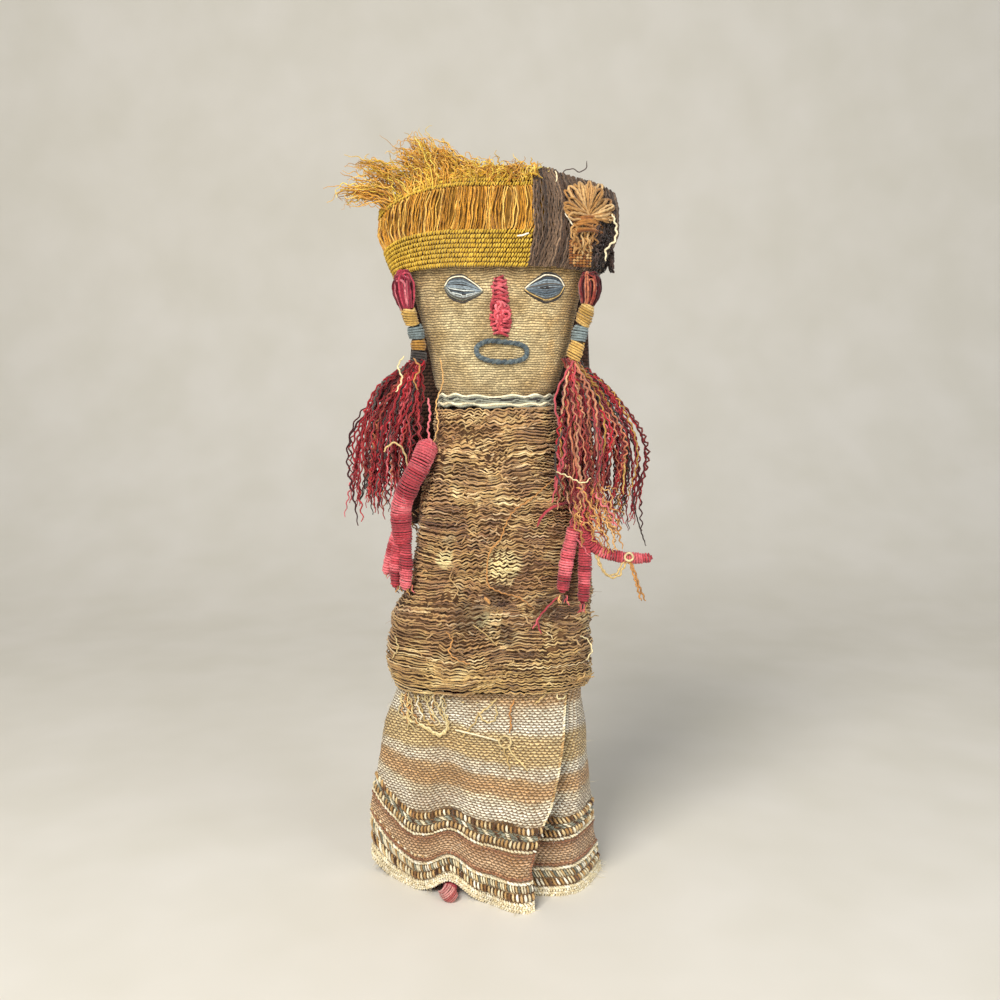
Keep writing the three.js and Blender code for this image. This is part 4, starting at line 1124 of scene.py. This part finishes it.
# %% Tassels
def tassel(root, shoulders, elbows, ends, number, colours, seed):
    """Strands from a root to ends spread between two outer lines. Colours are finish numbers to draw from."""
    rng = np.random.default_rng(seed)
    root, shoulders, elbows, ends = spot(*root), spots(*shoulders), spots(*elbows), spots(*ends)
    strands = []
    for k in range(number):
        share = np.clip((k + rng.uniform(0, 1)) / number, 0, 1)
        stops = [line[0] + (line[1] - line[0]) * share for line in (shoulders, elbows, ends)]
        stray = rng.normal(0, 1, (3, 3)) * [[1.2, 1.6, 1.5], [2.6, 2.6, 3], [3.2, 2.6, 5]]
        length = rng.uniform(0.62, 1.06)
        start = root + rng.normal(0, 1, 3) * [1.3, 1.1, 0.3] + [0, 0, 1.5]
        places = [start, *(np.array(stops) + stray)]
        places[3] = places[2] + (places[3] - places[2]) * length
        path = crimped(flowing(places, 0.95), rng.uniform(0.35, 0.95), rng.uniform(3.4, 5.4), rng)
        radii = np.interp(np.linspace(0, 1, len(path)), [0, 0.85, 1], [0.42, 0.4, 0.2]) * rng.uniform(0.75, 1.2)
        strands.append((path, radii, int(rng.choice(colours))))
    return strands


rosy_tan_wool = wool("rosy tan wool", ["9c5c40", "c08660", "b06a50", "d4a47c", "8a4a38"], 0.35)
tassel_finishes = [crimson_wool, maroon_wool, ochre_wool, grey_wool, coral_wool, cream_wool, rosy_tan_wool]
left_tassel = tassel((-32.2, 30.8, 227.4), ((-48, 27, 218), (-33, 28, 214)), ((-58.5, 21, 196), (-35, 24, 197)),
                     ((-60.6, 19, 164), (-36, 21, 174)), 105, [0, 0, 0, 0, 0, 1, 1, 3, 4], 71)
yarns("tassel_left_yarns", left_tassel, tassel_finishes, ["tassel_left"])
right_tassel = tassel((29.6, 31, 227.9), ((47, 28, 214), (29, 33, 214)), ((58.5, 24, 194), (27, 37, 197)),
                      ((57, 23, 156), (29, 38, 180)), 96, [0, 0, 0, 1, 1, 1, 1, 3, 4, 2], 72)
right_tassel += tassel((29, 32, 227), ((38, 33, 214), (25, 34, 213)), ((39, 37.5, 194), (24.5, 39.5, 196)),
                       ((41, 42, 161), (24, 42.5, 166)), 32, [1, 1, 1, 0, 4, 6, 6], 73)
yarns("tassel_right_yarns", right_tassel, tassel_finishes, ["tassel_right"])

# %% [markdown]
# Eyes, nose and mouth are embroidery. The eyes are long satin stitches side by side, the nose is a column of
# short looped stitches, and the mouth is a plied cord laid in an oval and sewn down.


# %% Eyes, nose and mouth
def on_face(rows, nodes=("head",)):
    """Points on the front of the named solids from rows of x, height and lift."""
    found = [[front(node, x, z, lift) for node in nodes] for x, z, lift in rows]
    return np.array([min(options, key=lambda point: point[1]) for options in found])


def eye(centre_x, centre_z, half_long, half_tall, tilt, point, outline, rng):
    """Satin strands between an eye's two ends. Point is -1 or 1, the side whose end is sharp. Outline is a finish.
    Grey strands under the satin and grey lines just above and below the eye are painted shade.
    """
    strands = []
    s = np.linspace(-1, 1, 9)
    blunt = np.where(s * point > 0, (1 - np.abs(s)) ** 0.75, (1 - np.abs(s) ** 2.4) ** 0.6)
    # Layer 0 is grey yarn under the satin; its dark colour is painted shade between the satin strands.
    for layer, number in ((0, 7), (1, 9)):
        for k in range(number):
            t = (k - (number - 1) / 2) / ((number - 1) / 2) * (0.8 if layer else 0.9)
            x = centre_x + half_long * s * 0.93
            z = centre_z + tilt * s + half_tall * t * blunt + 0.15 * wobble(s * 3, k, 1, 50 + layer)
            lift = 0.1 + 0.35 * layer + 1.3 * np.sqrt(np.clip(1 - s * s, 0, 1)) * math.sqrt(1 - t * t * 0.9)
            lift = lift * rng.uniform(0.82, 1.15)
            finish = 0 if layer else 3
            strands.append((flowing(on_face(zip(x, z, lift)), 0.7), rng.uniform(0.36, 0.46) + 0.2 * (1 - layer), finish))
    # The grey lines at 1.2 and -1.22 are a painted shadow round the eye; the cream line and the outline are threads.
    for t, finish, size, lift in ((1.05, 1, 0.3, 0.9), (1.2, 3, 0.46, 0.2), (-1.22, 3, 0.6, 0.2), (-1.0, outline, 0.3, 0.8)):
        z = centre_z + tilt * s + half_tall * t * np.maximum(blunt, 0.03)
        strands.append((flowing(on_face(zip(centre_x + half_long * s, z, lift + 0 * s)), 0.7), size, finish))
    return strands


slate_wool = wool("slate wool", ["343e46", "5c6870", "8a959a", "46515a", "c8ccc4"], 0.45)
eye_finishes = [slate_wool, cream_wool, yellow_wool, grey_wool, sea_wool]
left_eye = eye(-13.9, 257, 7.5, 4.4, -0.9, 1, 4, rng)
yarns("eye_left_stitches", left_eye, eye_finishes, ["eye_left"])
right_eye = eye(18.3, 257.4, 7.9, 4.7, 0.6, -1, 2, rng)
yarns("eye_right_stitches", right_eye, eye_finishes, ["eye_right"])

deep_coral = wool("deep coral wool", ["5c1420", "731c28"], 0.2)
nose_rows = np.array([[238.4, 1], [240, 3.3], [244, 4.3], [248, 3.8], [252, 3.3], [256, 3], [260, 2.2], [262, 0.9]])
nose_strands = []
for k in range(26):
    z = 239.3 + k * 0.87
    half = np.interp(z, nose_rows[:, 0], nose_rows[:, 1]) * rng.uniform(0.85, 1.08)
    middle = np.interp(z, [238, 262], [1.2, 0.3]) + rng.uniform(-0.3, 0.3)
    lean = (1.5 if k % 2 else -1.1) * rng.uniform(0.5, 1.2)
    rows = [(middle - half, z - lean, 0.0), (middle - half * 0.6, z - lean * 0.4, 1.3), (middle, z + 0.3, 2.0),
            (middle + half * 0.6, z + lean * 0.5, 1.5), (middle + half, z + lean, 0.0)]
    nose_strands.append((flowing(on_face([(x, h, lift * rng.uniform(0.8, 1.2)) for x, h, lift in rows]), 0.5),
                         rng.uniform(0.46, 0.66), 0))
for k in range(12):
    z, x = rng.uniform(240.5, 252), rng.uniform(-1.6, 3.6)
    rows = [(x + 1.7 * math.cos(a) * (1 - 0.3 * k % 3), z + 1.9 * math.sin(a), 2.2 + 0.3 * math.sin(2 * a))
            for a in np.linspace(0, rng.uniform(3, 5.6), 7)]
    nose_strands.append((flowing(on_face(rows), 0.5), rng.uniform(0.42, 0.55), 0))
for offset in (-0.5, 0, 0.5):
    rows = [(np.interp(z, [238, 262], [1.2, 0.3]) + offset * np.interp(z, nose_rows[:, 0], nose_rows[:, 1]), z, 0.6)
            for z in np.linspace(239, 261.5, 14)]
    nose_strands.append((on_face(rows), 1.1, 1))
yarns("nose_stitches", nose_strands, [coral_wool, deep_coral], ["nose"], sides=6)

turn = np.linspace(0, 2 * np.pi, 90)
lip_x = 1.2 + 10.1 * np.sign(np.cos(turn)) * np.abs(np.cos(turn)) ** 0.8
lip_z = 232.8 + 4.2 * np.sign(np.sin(turn)) * np.abs(np.sin(turn)) ** 0.8 * np.where(np.sin(turn) > 0, 0.82, 1.05)
lip_z = lip_z + 0.35 * wobble(turn * 6, 0, 4, 63) - 0.04 * lip_x
lips = on_face(zip(lip_x, lip_z, 0.9 + 0 * turn))
side, over = sideways(lips, (0, 1, 0))
ply = [(lips + 0.5 * (side * np.cos(17 * turn + phase)[:, None] + over * np.sin(17 * turn + phase)[:, None]), 0.68, 0)
       for phase in (0, np.pi)]
yarns("mouth_cord", ply, [blue_wool], ["mouth"], sides=6)

# %% [markdown]
# A few blue-green and grey yarns are wound round the neck, where the head's cloth goes down into the dress.


# %% Neck yarns
def oval(turn, left, right, ahead, behind):
    """A squarish ring round the doll at a turn, as x and depth."""
    bulge = [np.sign(w) * np.abs(w) ** (2 / 2.6) for w in (np.sin(turn), np.cos(turn))]
    return left + (right - left) * (0.5 + 0.5 * bulge[0]), behind + (ahead - behind) * (0.5 + 0.5 * bulge[1])


neck_strands = []
for k in range(7):
    ring = np.linspace(-np.pi, np.pi, 150)
    x, depth = oval(ring, -24.6, 22.8, 32.4, 7.2)
    z = 210.3 + 0.7 * k + 0.45 * np.sin(ring * 14 + rng.uniform(0, 6)) + 0.4 * wobble(ring * 30, k, 9, 81)
    swell = 1 + 0.012 * wobble(ring * 30, k * 3, 4, 82) + 0.01 * (k % 2)
    points = np.stack([x * swell + SIDE_X, BACK_Y - (depth - 20) * swell - 20, z], axis=1)
    neck_strands.append((points, rng.uniform(0.5, 0.7), (0, 1, 0, 0, 2, 0, 1)[k]))
yarns("neck_yarns", neck_strands, [sea_wool, cream_wool, grey_wool], ["neck_band"])

# %% [markdown]
# A dark open cloth hangs from under the headband behind the head and the shoulders, like a veil. Only its edges
# show from the front. Its lower end reaches behind the left arm, where its dark colour between the arm and the
# torso is painted shade.

# %% Mantle
# The lowest rows reach behind the left arm, where the cloth's dark colour stands for the shade between arm and torso.
MANTLE_ROWS = np.array([[158, -38, 33], [180, -41, 38], [202, -41.5, 40], [224, -38, 39], [244, -36, 38],
                        [261.6, -38, 36]])


def mantle_surface(u, v):
    """The front face up to v = 0.5, and the back face back down."""
    share = 2 * u - 1
    rise = np.interp(v, [0, 0.48, 0.52, 1], [0, 1, 1, 0])
    z = 158 + (261.6 - 158) * rise
    left, right = (np.interp(z, MANTLE_ROWS[:, 0], MANTLE_ROWS[:, k]) for k in (1, 2))
    x = (left + right) / 2 + (right - left) / 2 * share
    edge = np.clip((1 - np.abs(share)) * 20, 0, 1)
    thick = 1.7 * np.interp(v, [0, 0.04, 0.44, 0.5, 0.56, 0.96, 1], [0, 1, 1, 0, 1, 1, 0]) * edge
    depth = 2.6 + 4 * share ** 4 + 0.9 * np.sin(7 * share + z / 24) + np.where(v < 0.5, 0.5, -0.5) * thick
    places = np.stack([x + SIDE_X, BACK_Y - np.maximum(depth, 0.6), z], axis=-1)
    along = lengths_along(places)
    relief = 0.4 * wobble(along, z, 4, 35) * np.clip(thick, 0, 1)
    return places, relief, np.stack([along, z, 0 * z], axis=-1)


def mantle_colour(finish, across, height):
    return finish.ramp(finish.noise(13, detail=3.0), [(0.3, "3a2820"), (0.5, "4b3429"), (0.7, "5a4133")])


mantle_cloth = woven("mantle cloth", mantle_colour, 2.4, 1.5, gap="120b08")
mantle = cloth("mantle_cloth", 80, 120, mantle_surface, [mantle_cloth], ["mantle"])

# %% [markdown]
# Two knots of yarn sit on the band's right end. The light one is a fan of loops tied at its waist, with a narrow
# stitched column under it. The dark one is a felted tangle.


# %% Knots of yarn on the band
def tan_knot():
    rng = np.random.default_rng(91)
    strands = []
    for k in range(30):
        angle = math.radians(178 - 190 * (k + rng.uniform(-0.4, 0.4)) / 29)
        long = np.interp(math.degrees(angle), [-15, 30, 90, 130, 180], [9.5, 12, 14.5, 13.5, 8.5]) * rng.uniform(0.78, 1.04)
        foot = np.array([35.0 + rng.uniform(-1.6, 1.6), 284.8 + rng.uniform(-0.8, 0.8)])
        out, across = np.array([math.cos(angle), math.sin(angle)]), np.array([-math.sin(angle), math.cos(angle)])
        wide = rng.uniform(0.5, 1.1)
        rows = [foot, foot + out * long * 0.5 - across * wide, foot + out * long * 0.93 - across * wide * 0.8,
                foot + out * long, foot + out * long * 0.9 + across * wide, foot + out * long * 0.5 + across * wide, foot]
        lifts = np.array([1.2, 3.2, 3.0, 2.2, 2.6, 2.4, 1.0]) + rng.uniform(-1.2, 0.9)
        points = on_face([(min(x, 46.5), z, lift) for (x, z), lift in zip(rows, lifts)], ["headband"])
        strands.append((crimped(flowing(points, 0.8), 0.12, 2.5, rng), rng.uniform(0.42, 0.58), 0))
    for k in range(8):
        z = 284.2 - k * 0.75 + rng.uniform(-0.3, 0.3)
        rows = [(29.2 + rng.uniform(-1, 1), z - 0.4, 0.8), (32, z + rng.uniform(-0.5, 0.9), 3.0),
                (36, z + rng.uniform(-0.5, 0.9), 3.0), (40.4 + rng.uniform(-1, 1), z - 0.6, 0.8)]
        strands.append((flowing(on_face(rows, ["headband"]), 0.8), rng.uniform(0.5, 0.65), 1))
    for k in range(16):
        x = rng.uniform(28.6, 41)
        rows = [(x + rng.uniform(-1.2, 1.2), z, rng.uniform(0.8, 2.6)) for z in np.linspace(282, rng.uniform(270, 276), 6)]
        strands.append((crimped(flowing(on_face(rows, ["headband"]), 0.7), 0.35, 3.2, rng), 0.42, 0))
    for k in range(10):
        z = 265.6 + k * 1.05
        for start in np.arange(27.8, 37, 1.35):
            rows = [(start, z, 0.4), (start + 0.7, z + 0.25, 1.3), (start + 1.4, z + 0.5, 0.4)]
            strands.append((on_face(rows, ["headband"]), [0.3, 0.55, 0.3], rng.choice([0, 1, 1, 1])))
    return strands


def dark_knot():
    rng = np.random.default_rng(92)
    strands = []
    for k in range(70):
        x, z = 42.2 + rng.uniform(-4, 3.6), rng.uniform(265, 285)
        rows = []
        for step in range(7):
            rows.append((np.clip(x, 37.2, 46.4), np.clip(z, 264, 287.5), rng.uniform(0.4, 2.8)))
            x, z = x + rng.uniform(-1.6, 1.6), z + rng.uniform(-3.0, 3.0)
        strands.append((crimped(flowing(on_face(rows, ["headband"]), 0.8), 0.3, 3, rng), rng.uniform(0.22, 0.42), 0))
    return strands


tan_wool = wool("tan wool", ["a07440", "c29a64", "b4874e", "d2ae78", "8f6436"], 0.3)
rust_brown = wool("rust-brown wool", ["7a4a26", "9a6230", "6a3e22", "a87238"], 0.3)
yarns("tan_loops", tan_knot(), [tan_wool, rust_brown], ["yarn_loops_tan"], sides=6)
black_wool = wool("dark brown wool", ["241a16", "3c2c25", "54413a", "2c201b"], 0.4)
yarns("dark_knot", dark_knot(), [black_wool], ["yarn_knot_dark"])

# %% [markdown]
# Last come the threads that have worked loose in the centuries since: on the dress, at the torn left end of the
# skirt's top, at the right hand and beside the tassels. Each lies on what carries it, so its few places are
# named by the pixels of the picture where it shows, and it wavers a little between them.

# %% Loose threads
trees["skirt_cloth"] = BVHTree.FromObject(skirt, bpy.context.evaluated_depsgraph_get())
thread_rng = np.random.default_rng(101)
ORANGE_TAN, PINK, WHITE, BLACK, GREY, YELLOW, CREPE = range(7)
thread_finishes = [wool("orange-tan wool", ["a8743c", "c89050", "b98248", "d8a868"], 0.35), coral_wool, cream_wool,
                   black_wool, grey_wool, wool("pale yellow wool", ["c2a468", "dcc48a", "b0925a", "ead8a4"], 0.3),
                   crepe_yarn]


def thread(pixels, place, radius, finish, curl=0.3):
    """A loose thread along a few pixels. Place is a node's name and a lift, or a depth for one that hangs free."""
    if isinstance(place, tuple):
        points = [seen(x, y, place[1], [place[0]]) for x, y in pixels]
    else:
        points = [hung(x, y, place) for x, y in pixels]
    path = crimped(flowing(points, 0.7), curl, thread_rng.uniform(2.6, 4.2), thread_rng, settle=1.0)
    radii = np.interp(np.linspace(0, 1, len(path)), [0, 0.06, 0.9, 1], [0.6, 1, 1, 0.5]) * radius
    return path, radii, finish


def ring(x, y, radius, turns, start=0.0):
    """Pixels round a centre."""
    angles = start + np.linspace(0, 2 * math.pi * turns, int(9 * turns) + 2)
    return [(x + radius * math.cos(a), y + radius * math.sin(a)) for a in angles]


FINGERTIPS = (      # pixels across and down, and depth
    (410, 588, 31.6), (399, 586, 30), (390, 573, 28.4), (563, 598, 42), (584, 607, 41))
headband_threads = [thread([(517, 236), (523, 235), (529, 233)], ("headband", 1.3), 0.36, WHITE, 0.1),
                    thread([(556, 182), (557, 176), (555, 171)], ("headband", 1.0), 0.3, WHITE, 0.1),
                    thread([(565, 213), (569, 219), (573, 225)], ("headband", 1.6), 0.34, WHITE, 0.1)]
dress_threads = [
    thread([(553, 480), (545, 487), (530, 500), (515, 510), (506, 524), (500, 540), (491, 550), (487, 568), (490, 587),
            (500, 592), (520, 598), (535, 610)], ("dress", 1.9), 0.32, ORANGE_TAN),
    thread([(575, 503), (562, 504), (550, 509), (541, 518), (537, 527)], ("dress", 2.6), 0.66, PINK, 0.15),
    thread([(556, 476), (555, 485), (559, 496)], ("dress", 2.2), 0.5, PINK),
    thread([(558, 597), (545, 610), (538, 620), (541, 634)], ("dress", 1.9), 0.4, PINK),
    thread([(539, 617), (533, 629)], ("dress", 1.9), 0.36, PINK),
    thread([(473, 625), (484, 633), (497, 646)], ("dress", 2.1), 0.28, YELLOW, 0.1),
    thread([(484, 598), (487, 600), (490, 604)], ("dress", 2.0), 0.8, ORANGE_TAN, 0.0),
    thread([(446, 632), (452, 640), (449, 652), (458, 660), (470, 664)], ("dress", 2.0), 0.3, ORANGE_TAN),
    thread([(455, 566), (450, 578), (458, 590), (452, 600)], ("dress", 1.8), 0.28, CREPE),
    thread([(580, 636), (588, 640), (592, 650), (586, 660)], ("dress", 1.8), 0.3, YELLOW),
    thread([(395, 636), (398, 648), (392, 658)], ("dress", 1.6), 0.3, YELLOW)]
skirt_threads = [
    *[thread([(403 + k, 716), (414, 722), (428, 728 + k), (439, 734 + k), (446 + k, 729), (445 + k, 715)],
             ("skirt_cloth", 1.5), 0.46, YELLOW, 0.45) for k in (0, 1, 2)],
    thread([(420, 690), (426, 702), (434, 714), (442, 727)], ("skirt_cloth", 1.5), 0.4, YELLOW, 0.4),
    thread([(413, 692), (421, 706), (424, 718), (437, 729)], ("skirt_cloth", 1.2), 0.4, YELLOW, 0.5),
    thread([(429, 694), (437, 704), (441, 714), (446, 722)], ("skirt_cloth", 1.4), 0.42, YELLOW, 0.4),
    thread([(405, 694), (408, 706), (415, 716), (418, 727)], ("skirt_cloth", 1.2), 0.36, ORANGE_TAN, 0.5),
    thread([(497, 698), (490, 706), (480, 715), (484, 721), (492, 722), (497, 714), (495, 705)],
           ("skirt_cloth", 1.4), 0.36, YELLOW),
    thread([(478, 712), (476, 721), (470, 728), (462, 737)], ("skirt_cloth", 1.2), 0.36, YELLOW),
    thread([(455, 730), (468, 733), (484, 737), (499, 741)], ("skirt_cloth", 1.3), 0.42, WHITE, 0.05),
    thread(ring(505, 742, 6, 1.7), ("skirt_cloth", 1.6), 0.42, YELLOW, 0.05),
    thread([(503, 748), (507, 758), (510, 770)], ("skirt_cloth", 1.3), 0.38, YELLOW),
    thread([(508, 748), (515, 757), (521, 763), (528, 771)], ("skirt_cloth", 1.3), 0.36, YELLOW),
    thread([(514, 700), (510, 712), (511, 722), (510, 733)], ("skirt_cloth", 1.2), 0.4, ORANGE_TAN)]
for k in range(18):
    x, y = thread_rng.uniform(398, 440), thread_rng.uniform(688, 700)
    walk = [(x, y)]
    for _ in range(3):
        x, y = x + thread_rng.uniform(-4, 9), min(y + thread_rng.uniform(3, 14), 736)
        walk.append((x, y))
    skirt_threads.append(thread(walk, ("skirt_cloth", thread_rng.uniform(0.8, 2)), thread_rng.uniform(0.26, 0.42),
                                int(thread_rng.choice([YELLOW, YELLOW, ORANGE_TAN, WHITE])), 0.5))
for start in (424, 447, 460, 474, 488, 523, 538, 556):
    sag = thread_rng.uniform(6, 15)
    skirt_threads.append(thread([(start, 692), (start + 3, 692 + sag), (start + thread_rng.uniform(6, 14), 693)],
                                ("skirt_cloth", 1.6), thread_rng.uniform(0.26, 0.4), YELLOW, 0.4))
free_threads = [
    thread([(632, 488), (634, 505), (640, 528), (646, 546)], 33, 0.3, BLACK, 0.2),
    thread([(563, 430), (556, 450), (556, 470), (562, 490)], 44, 0.34, GREY),
    thread([(556, 472), (565, 475), (575, 480), (583, 483), (591, 478)], 46, 0.28, YELLOW),
    thread([(384, 452), (389, 445), (396, 443), (403, 450), (407, 462), (408, 474), (404, 488)], 31, 0.4, YELLOW),
    thread([(428, 398), (430, 415), (428, 430), (432, 446)], 34, 0.42, PINK),
    thread([(440, 358), (443, 380), (436, 405), (438, 425), (434, 442)], 35, 0.32, ORANGE_TAN),
    thread([(556, 452), (560, 462), (557, 474)], 45, 0.34, PINK),
    thread([(612, 214), (616, 226), (615, 240), (606, 250), (606, 261)], 33, 0.42, WHITE, 0.4),
    thread([(560, 177), (566, 170), (573, 169), (580, 172), (586, 168), (587, 161)], 29, 0.22, BLACK, 0.15),
    thread([(404, 356), (398, 366), (402, 378), (396, 392)], 36, 0.36, YELLOW),
    thread([(413, 358), (420, 368), (414, 380), (418, 390)], 36, 0.34, ORANGE_TAN)]
for k in range(40):
    x, y = thread_rng.uniform(572, 606), thread_rng.uniform(478, 520)
    walk = [(x, y)]
    for _ in range(4):
        x, y = min(x + thread_rng.uniform(-3, 10), 632), min(y + thread_rng.uniform(2, 14), 563)
        walk.append((x, y))
    free_threads.append(thread(walk, 42 + thread_rng.uniform(-2, 3), thread_rng.uniform(0.24, 0.4),
                               int(thread_rng.choice([ORANGE_TAN, ORANGE_TAN, PINK])), 0.6))
for x, y, depth in FINGERTIPS:
    for k in range(7):
        start = x + thread_rng.uniform(-4, 4)
        walk = [(start, y - 3), (start + thread_rng.uniform(-1.5, 1.5), y + 1.5),
                (start + thread_rng.uniform(-3, 3), y + thread_rng.uniform(3, 8))]
        free_threads.append(thread(walk, depth, thread_rng.uniform(0.2, 0.34),
                                   int(thread_rng.choice([BLACK, ORANGE_TAN, PINK])), 0.3))
hand_loop = [(598, 540), (596, 552), (600, 566), (608, 575), (616, 574), (622, 564), (630, 556)]
for shift in (0, 2.2):
    free_threads.append(thread([(x + shift, y + shift) for x, y in hand_loop], 40.5, 0.42, YELLOW, 0.4))
    free_threads.append(thread([(628, 556), (632 + shift, 570), (637 + shift, 586), (641 + 2 * shift, 601)], 40.5,
                               0.44, ORANGE_TAN, 0.4))
free_threads.append(thread(ring(629, 557, 4, 1.6), 41.5, 0.45, YELLOW, 0.1))
for k in range(230):
    x, y = thread_rng.uniform(405, 592), thread_rng.uniform(410, 688)
    lean, long = thread_rng.normal(0, 0.45), thread_rng.uniform(5, 13)
    ends = [(x + t * long * math.cos(lean), y + t * long * math.sin(lean) + thread_rng.uniform(-1, 1)) for t in (0, 0.5, 1)]
    dress_threads.append(thread(ends, ("dress", thread_rng.uniform(0.9, 1.7)), thread_rng.uniform(0.24, 0.42), CREPE, 0.35))
yarns("headband_loose_threads", headband_threads, thread_finishes)
yarns("dress_loose_threads", dress_threads, thread_finishes)
yarns("skirt_loose_threads", skirt_threads, thread_finishes)
yarns("hand_loose_threads", free_threads, thread_finishes)

# %% [markdown]
# Hand-spun yarn is hairy. About twelve hundred fine fibres stand off the skirt, thickest at the hem, and off the
# dress, and soften every outline. Each starts at a point of a finished piece and leaves along its normal.


# %% Fuzz
def fibres(source, number, long, thick, low, high, seed):
    """Fine fibres that stand off a finished piece between two heights, in millimetres."""
    rng = np.random.default_rng(seed)
    mesh = source.data
    places, normals = np.empty(len(mesh.vertices) * 3), np.empty(len(mesh.vertices) * 3)
    mesh.vertices.foreach_get("co", places)
    mesh.vertices.foreach_get("normal", normals)
    places, normals = places.reshape(-1, 3) / MM, normals.reshape(-1, 3)
    fit = np.flatnonzero((places[:, 2] >= low) & (places[:, 2] <= high))
    strands = []
    for k in rng.choice(fit, number):
        length = long * rng.uniform(0.4, 1.1)
        lean = normals[k] + rng.normal(0, 0.6, 3)
        bend = rng.normal(0, 0.35, 3) * length
        steps = np.linspace(0, 1, 4)[:, None]
        points = places[k] - normals[k] * 0.2 + lean * length * steps + bend * steps ** 2
        points[:, 2] = np.maximum(points[:, 2], 0.1)
        strands.append((points, thick * np.array([1, 0.9, 0.7, 0.4]), 0))
    return strands


pale_fibre = wool("pale fibre", ["e8dcbc", "d2c098", "f4ecd8"], 0.2)
hem_fuzz = fibres(skirt, 420, 2.6, 0.075, 0, 4, 111) + fibres(skirt, 420, 1.7, 0.06, 4, 95, 112)
yarns("skirt_fuzz", hem_fuzz, [pale_fibre])
yarns("dress_fuzz", fibres(dress, 420, 2.8, 0.07, dress_skin.low, dress_skin.high, 113), [crepe_yarn])

# %% [markdown]
# A studio: a pale floor that curves up into a pale wall behind, one large soft light above the camera's left,
# a weaker one at the right, and a little light from all around.


# %% Studio
def studio_sweep():
    bm = bmesh.new()
    bmesh.ops.create_grid(bm, x_segments=2, y_segments=40, size=1)
    for vertex in bm.verts:
        run = (vertex.co.y + 1) * 1.6
        bend = min(max(run - 1.6, 0) / 0.35, math.pi / 2)
        up = max(run - 1.6 - 0.35 * math.pi / 2, 0)
        y = min(run, 1.6) - 1.15 + 0.35 * math.sin(bend)
        vertex.co = (vertex.co.x * 2.5, y, 0.35 * (1 - math.cos(bend)) + up)
    mesh = bpy.data.meshes.new("studio")
    bm.to_mesh(mesh)
    bm.free()
    mesh.polygons.foreach_set("use_smooth", np.ones(len(mesh.polygons), bool))
    finish = Finish("pale paper", roughness=0.8, sheen=0.0)
    tone = finish.ramp(finish.noise(60), [(0.3, "d9d4c8"), (0.7, "dfdad0")])
    mesh.materials.append(finish.done(tone, fibre=0.03))
    made = bpy.data.objects.new("studio", mesh)
    bpy.context.scene.collection.objects.link(made)


def soft_light(name, place, aim, size, power, colour):
    data = bpy.data.lights.new(name, "AREA")
    data.energy, data.size, data.color = power, size, colour
    made = bpy.data.objects.new(name, data)
    made.location = place
    made.rotation_euler = (Vector(aim) - Vector(place)).to_track_quat("-Z", "Y").to_euler()
    bpy.context.scene.collection.objects.link(made)


studio_sweep()
soft_light("key", (-0.35, -0.75, 0.85), (0, 0, 0.16), 0.45, 13, (1, 0.97, 0.92))
soft_light("fill", (0.7, -0.6, 0.35), (0, 0, 0.15), 0.6, 4, (0.94, 0.97, 1))
world = bpy.data.worlds.new("world")
world.use_nodes = True
world.node_tree.nodes["Background"].inputs["Color"].default_value = (0.9, 0.94, 1, 1)
world.node_tree.nodes["Background"].inputs["Strength"].default_value = 0.35
bpy.context.scene.world = world
bpy.context.scene.view_settings.view_transform = "Standard"
print("triangles in all:", total_triangles)
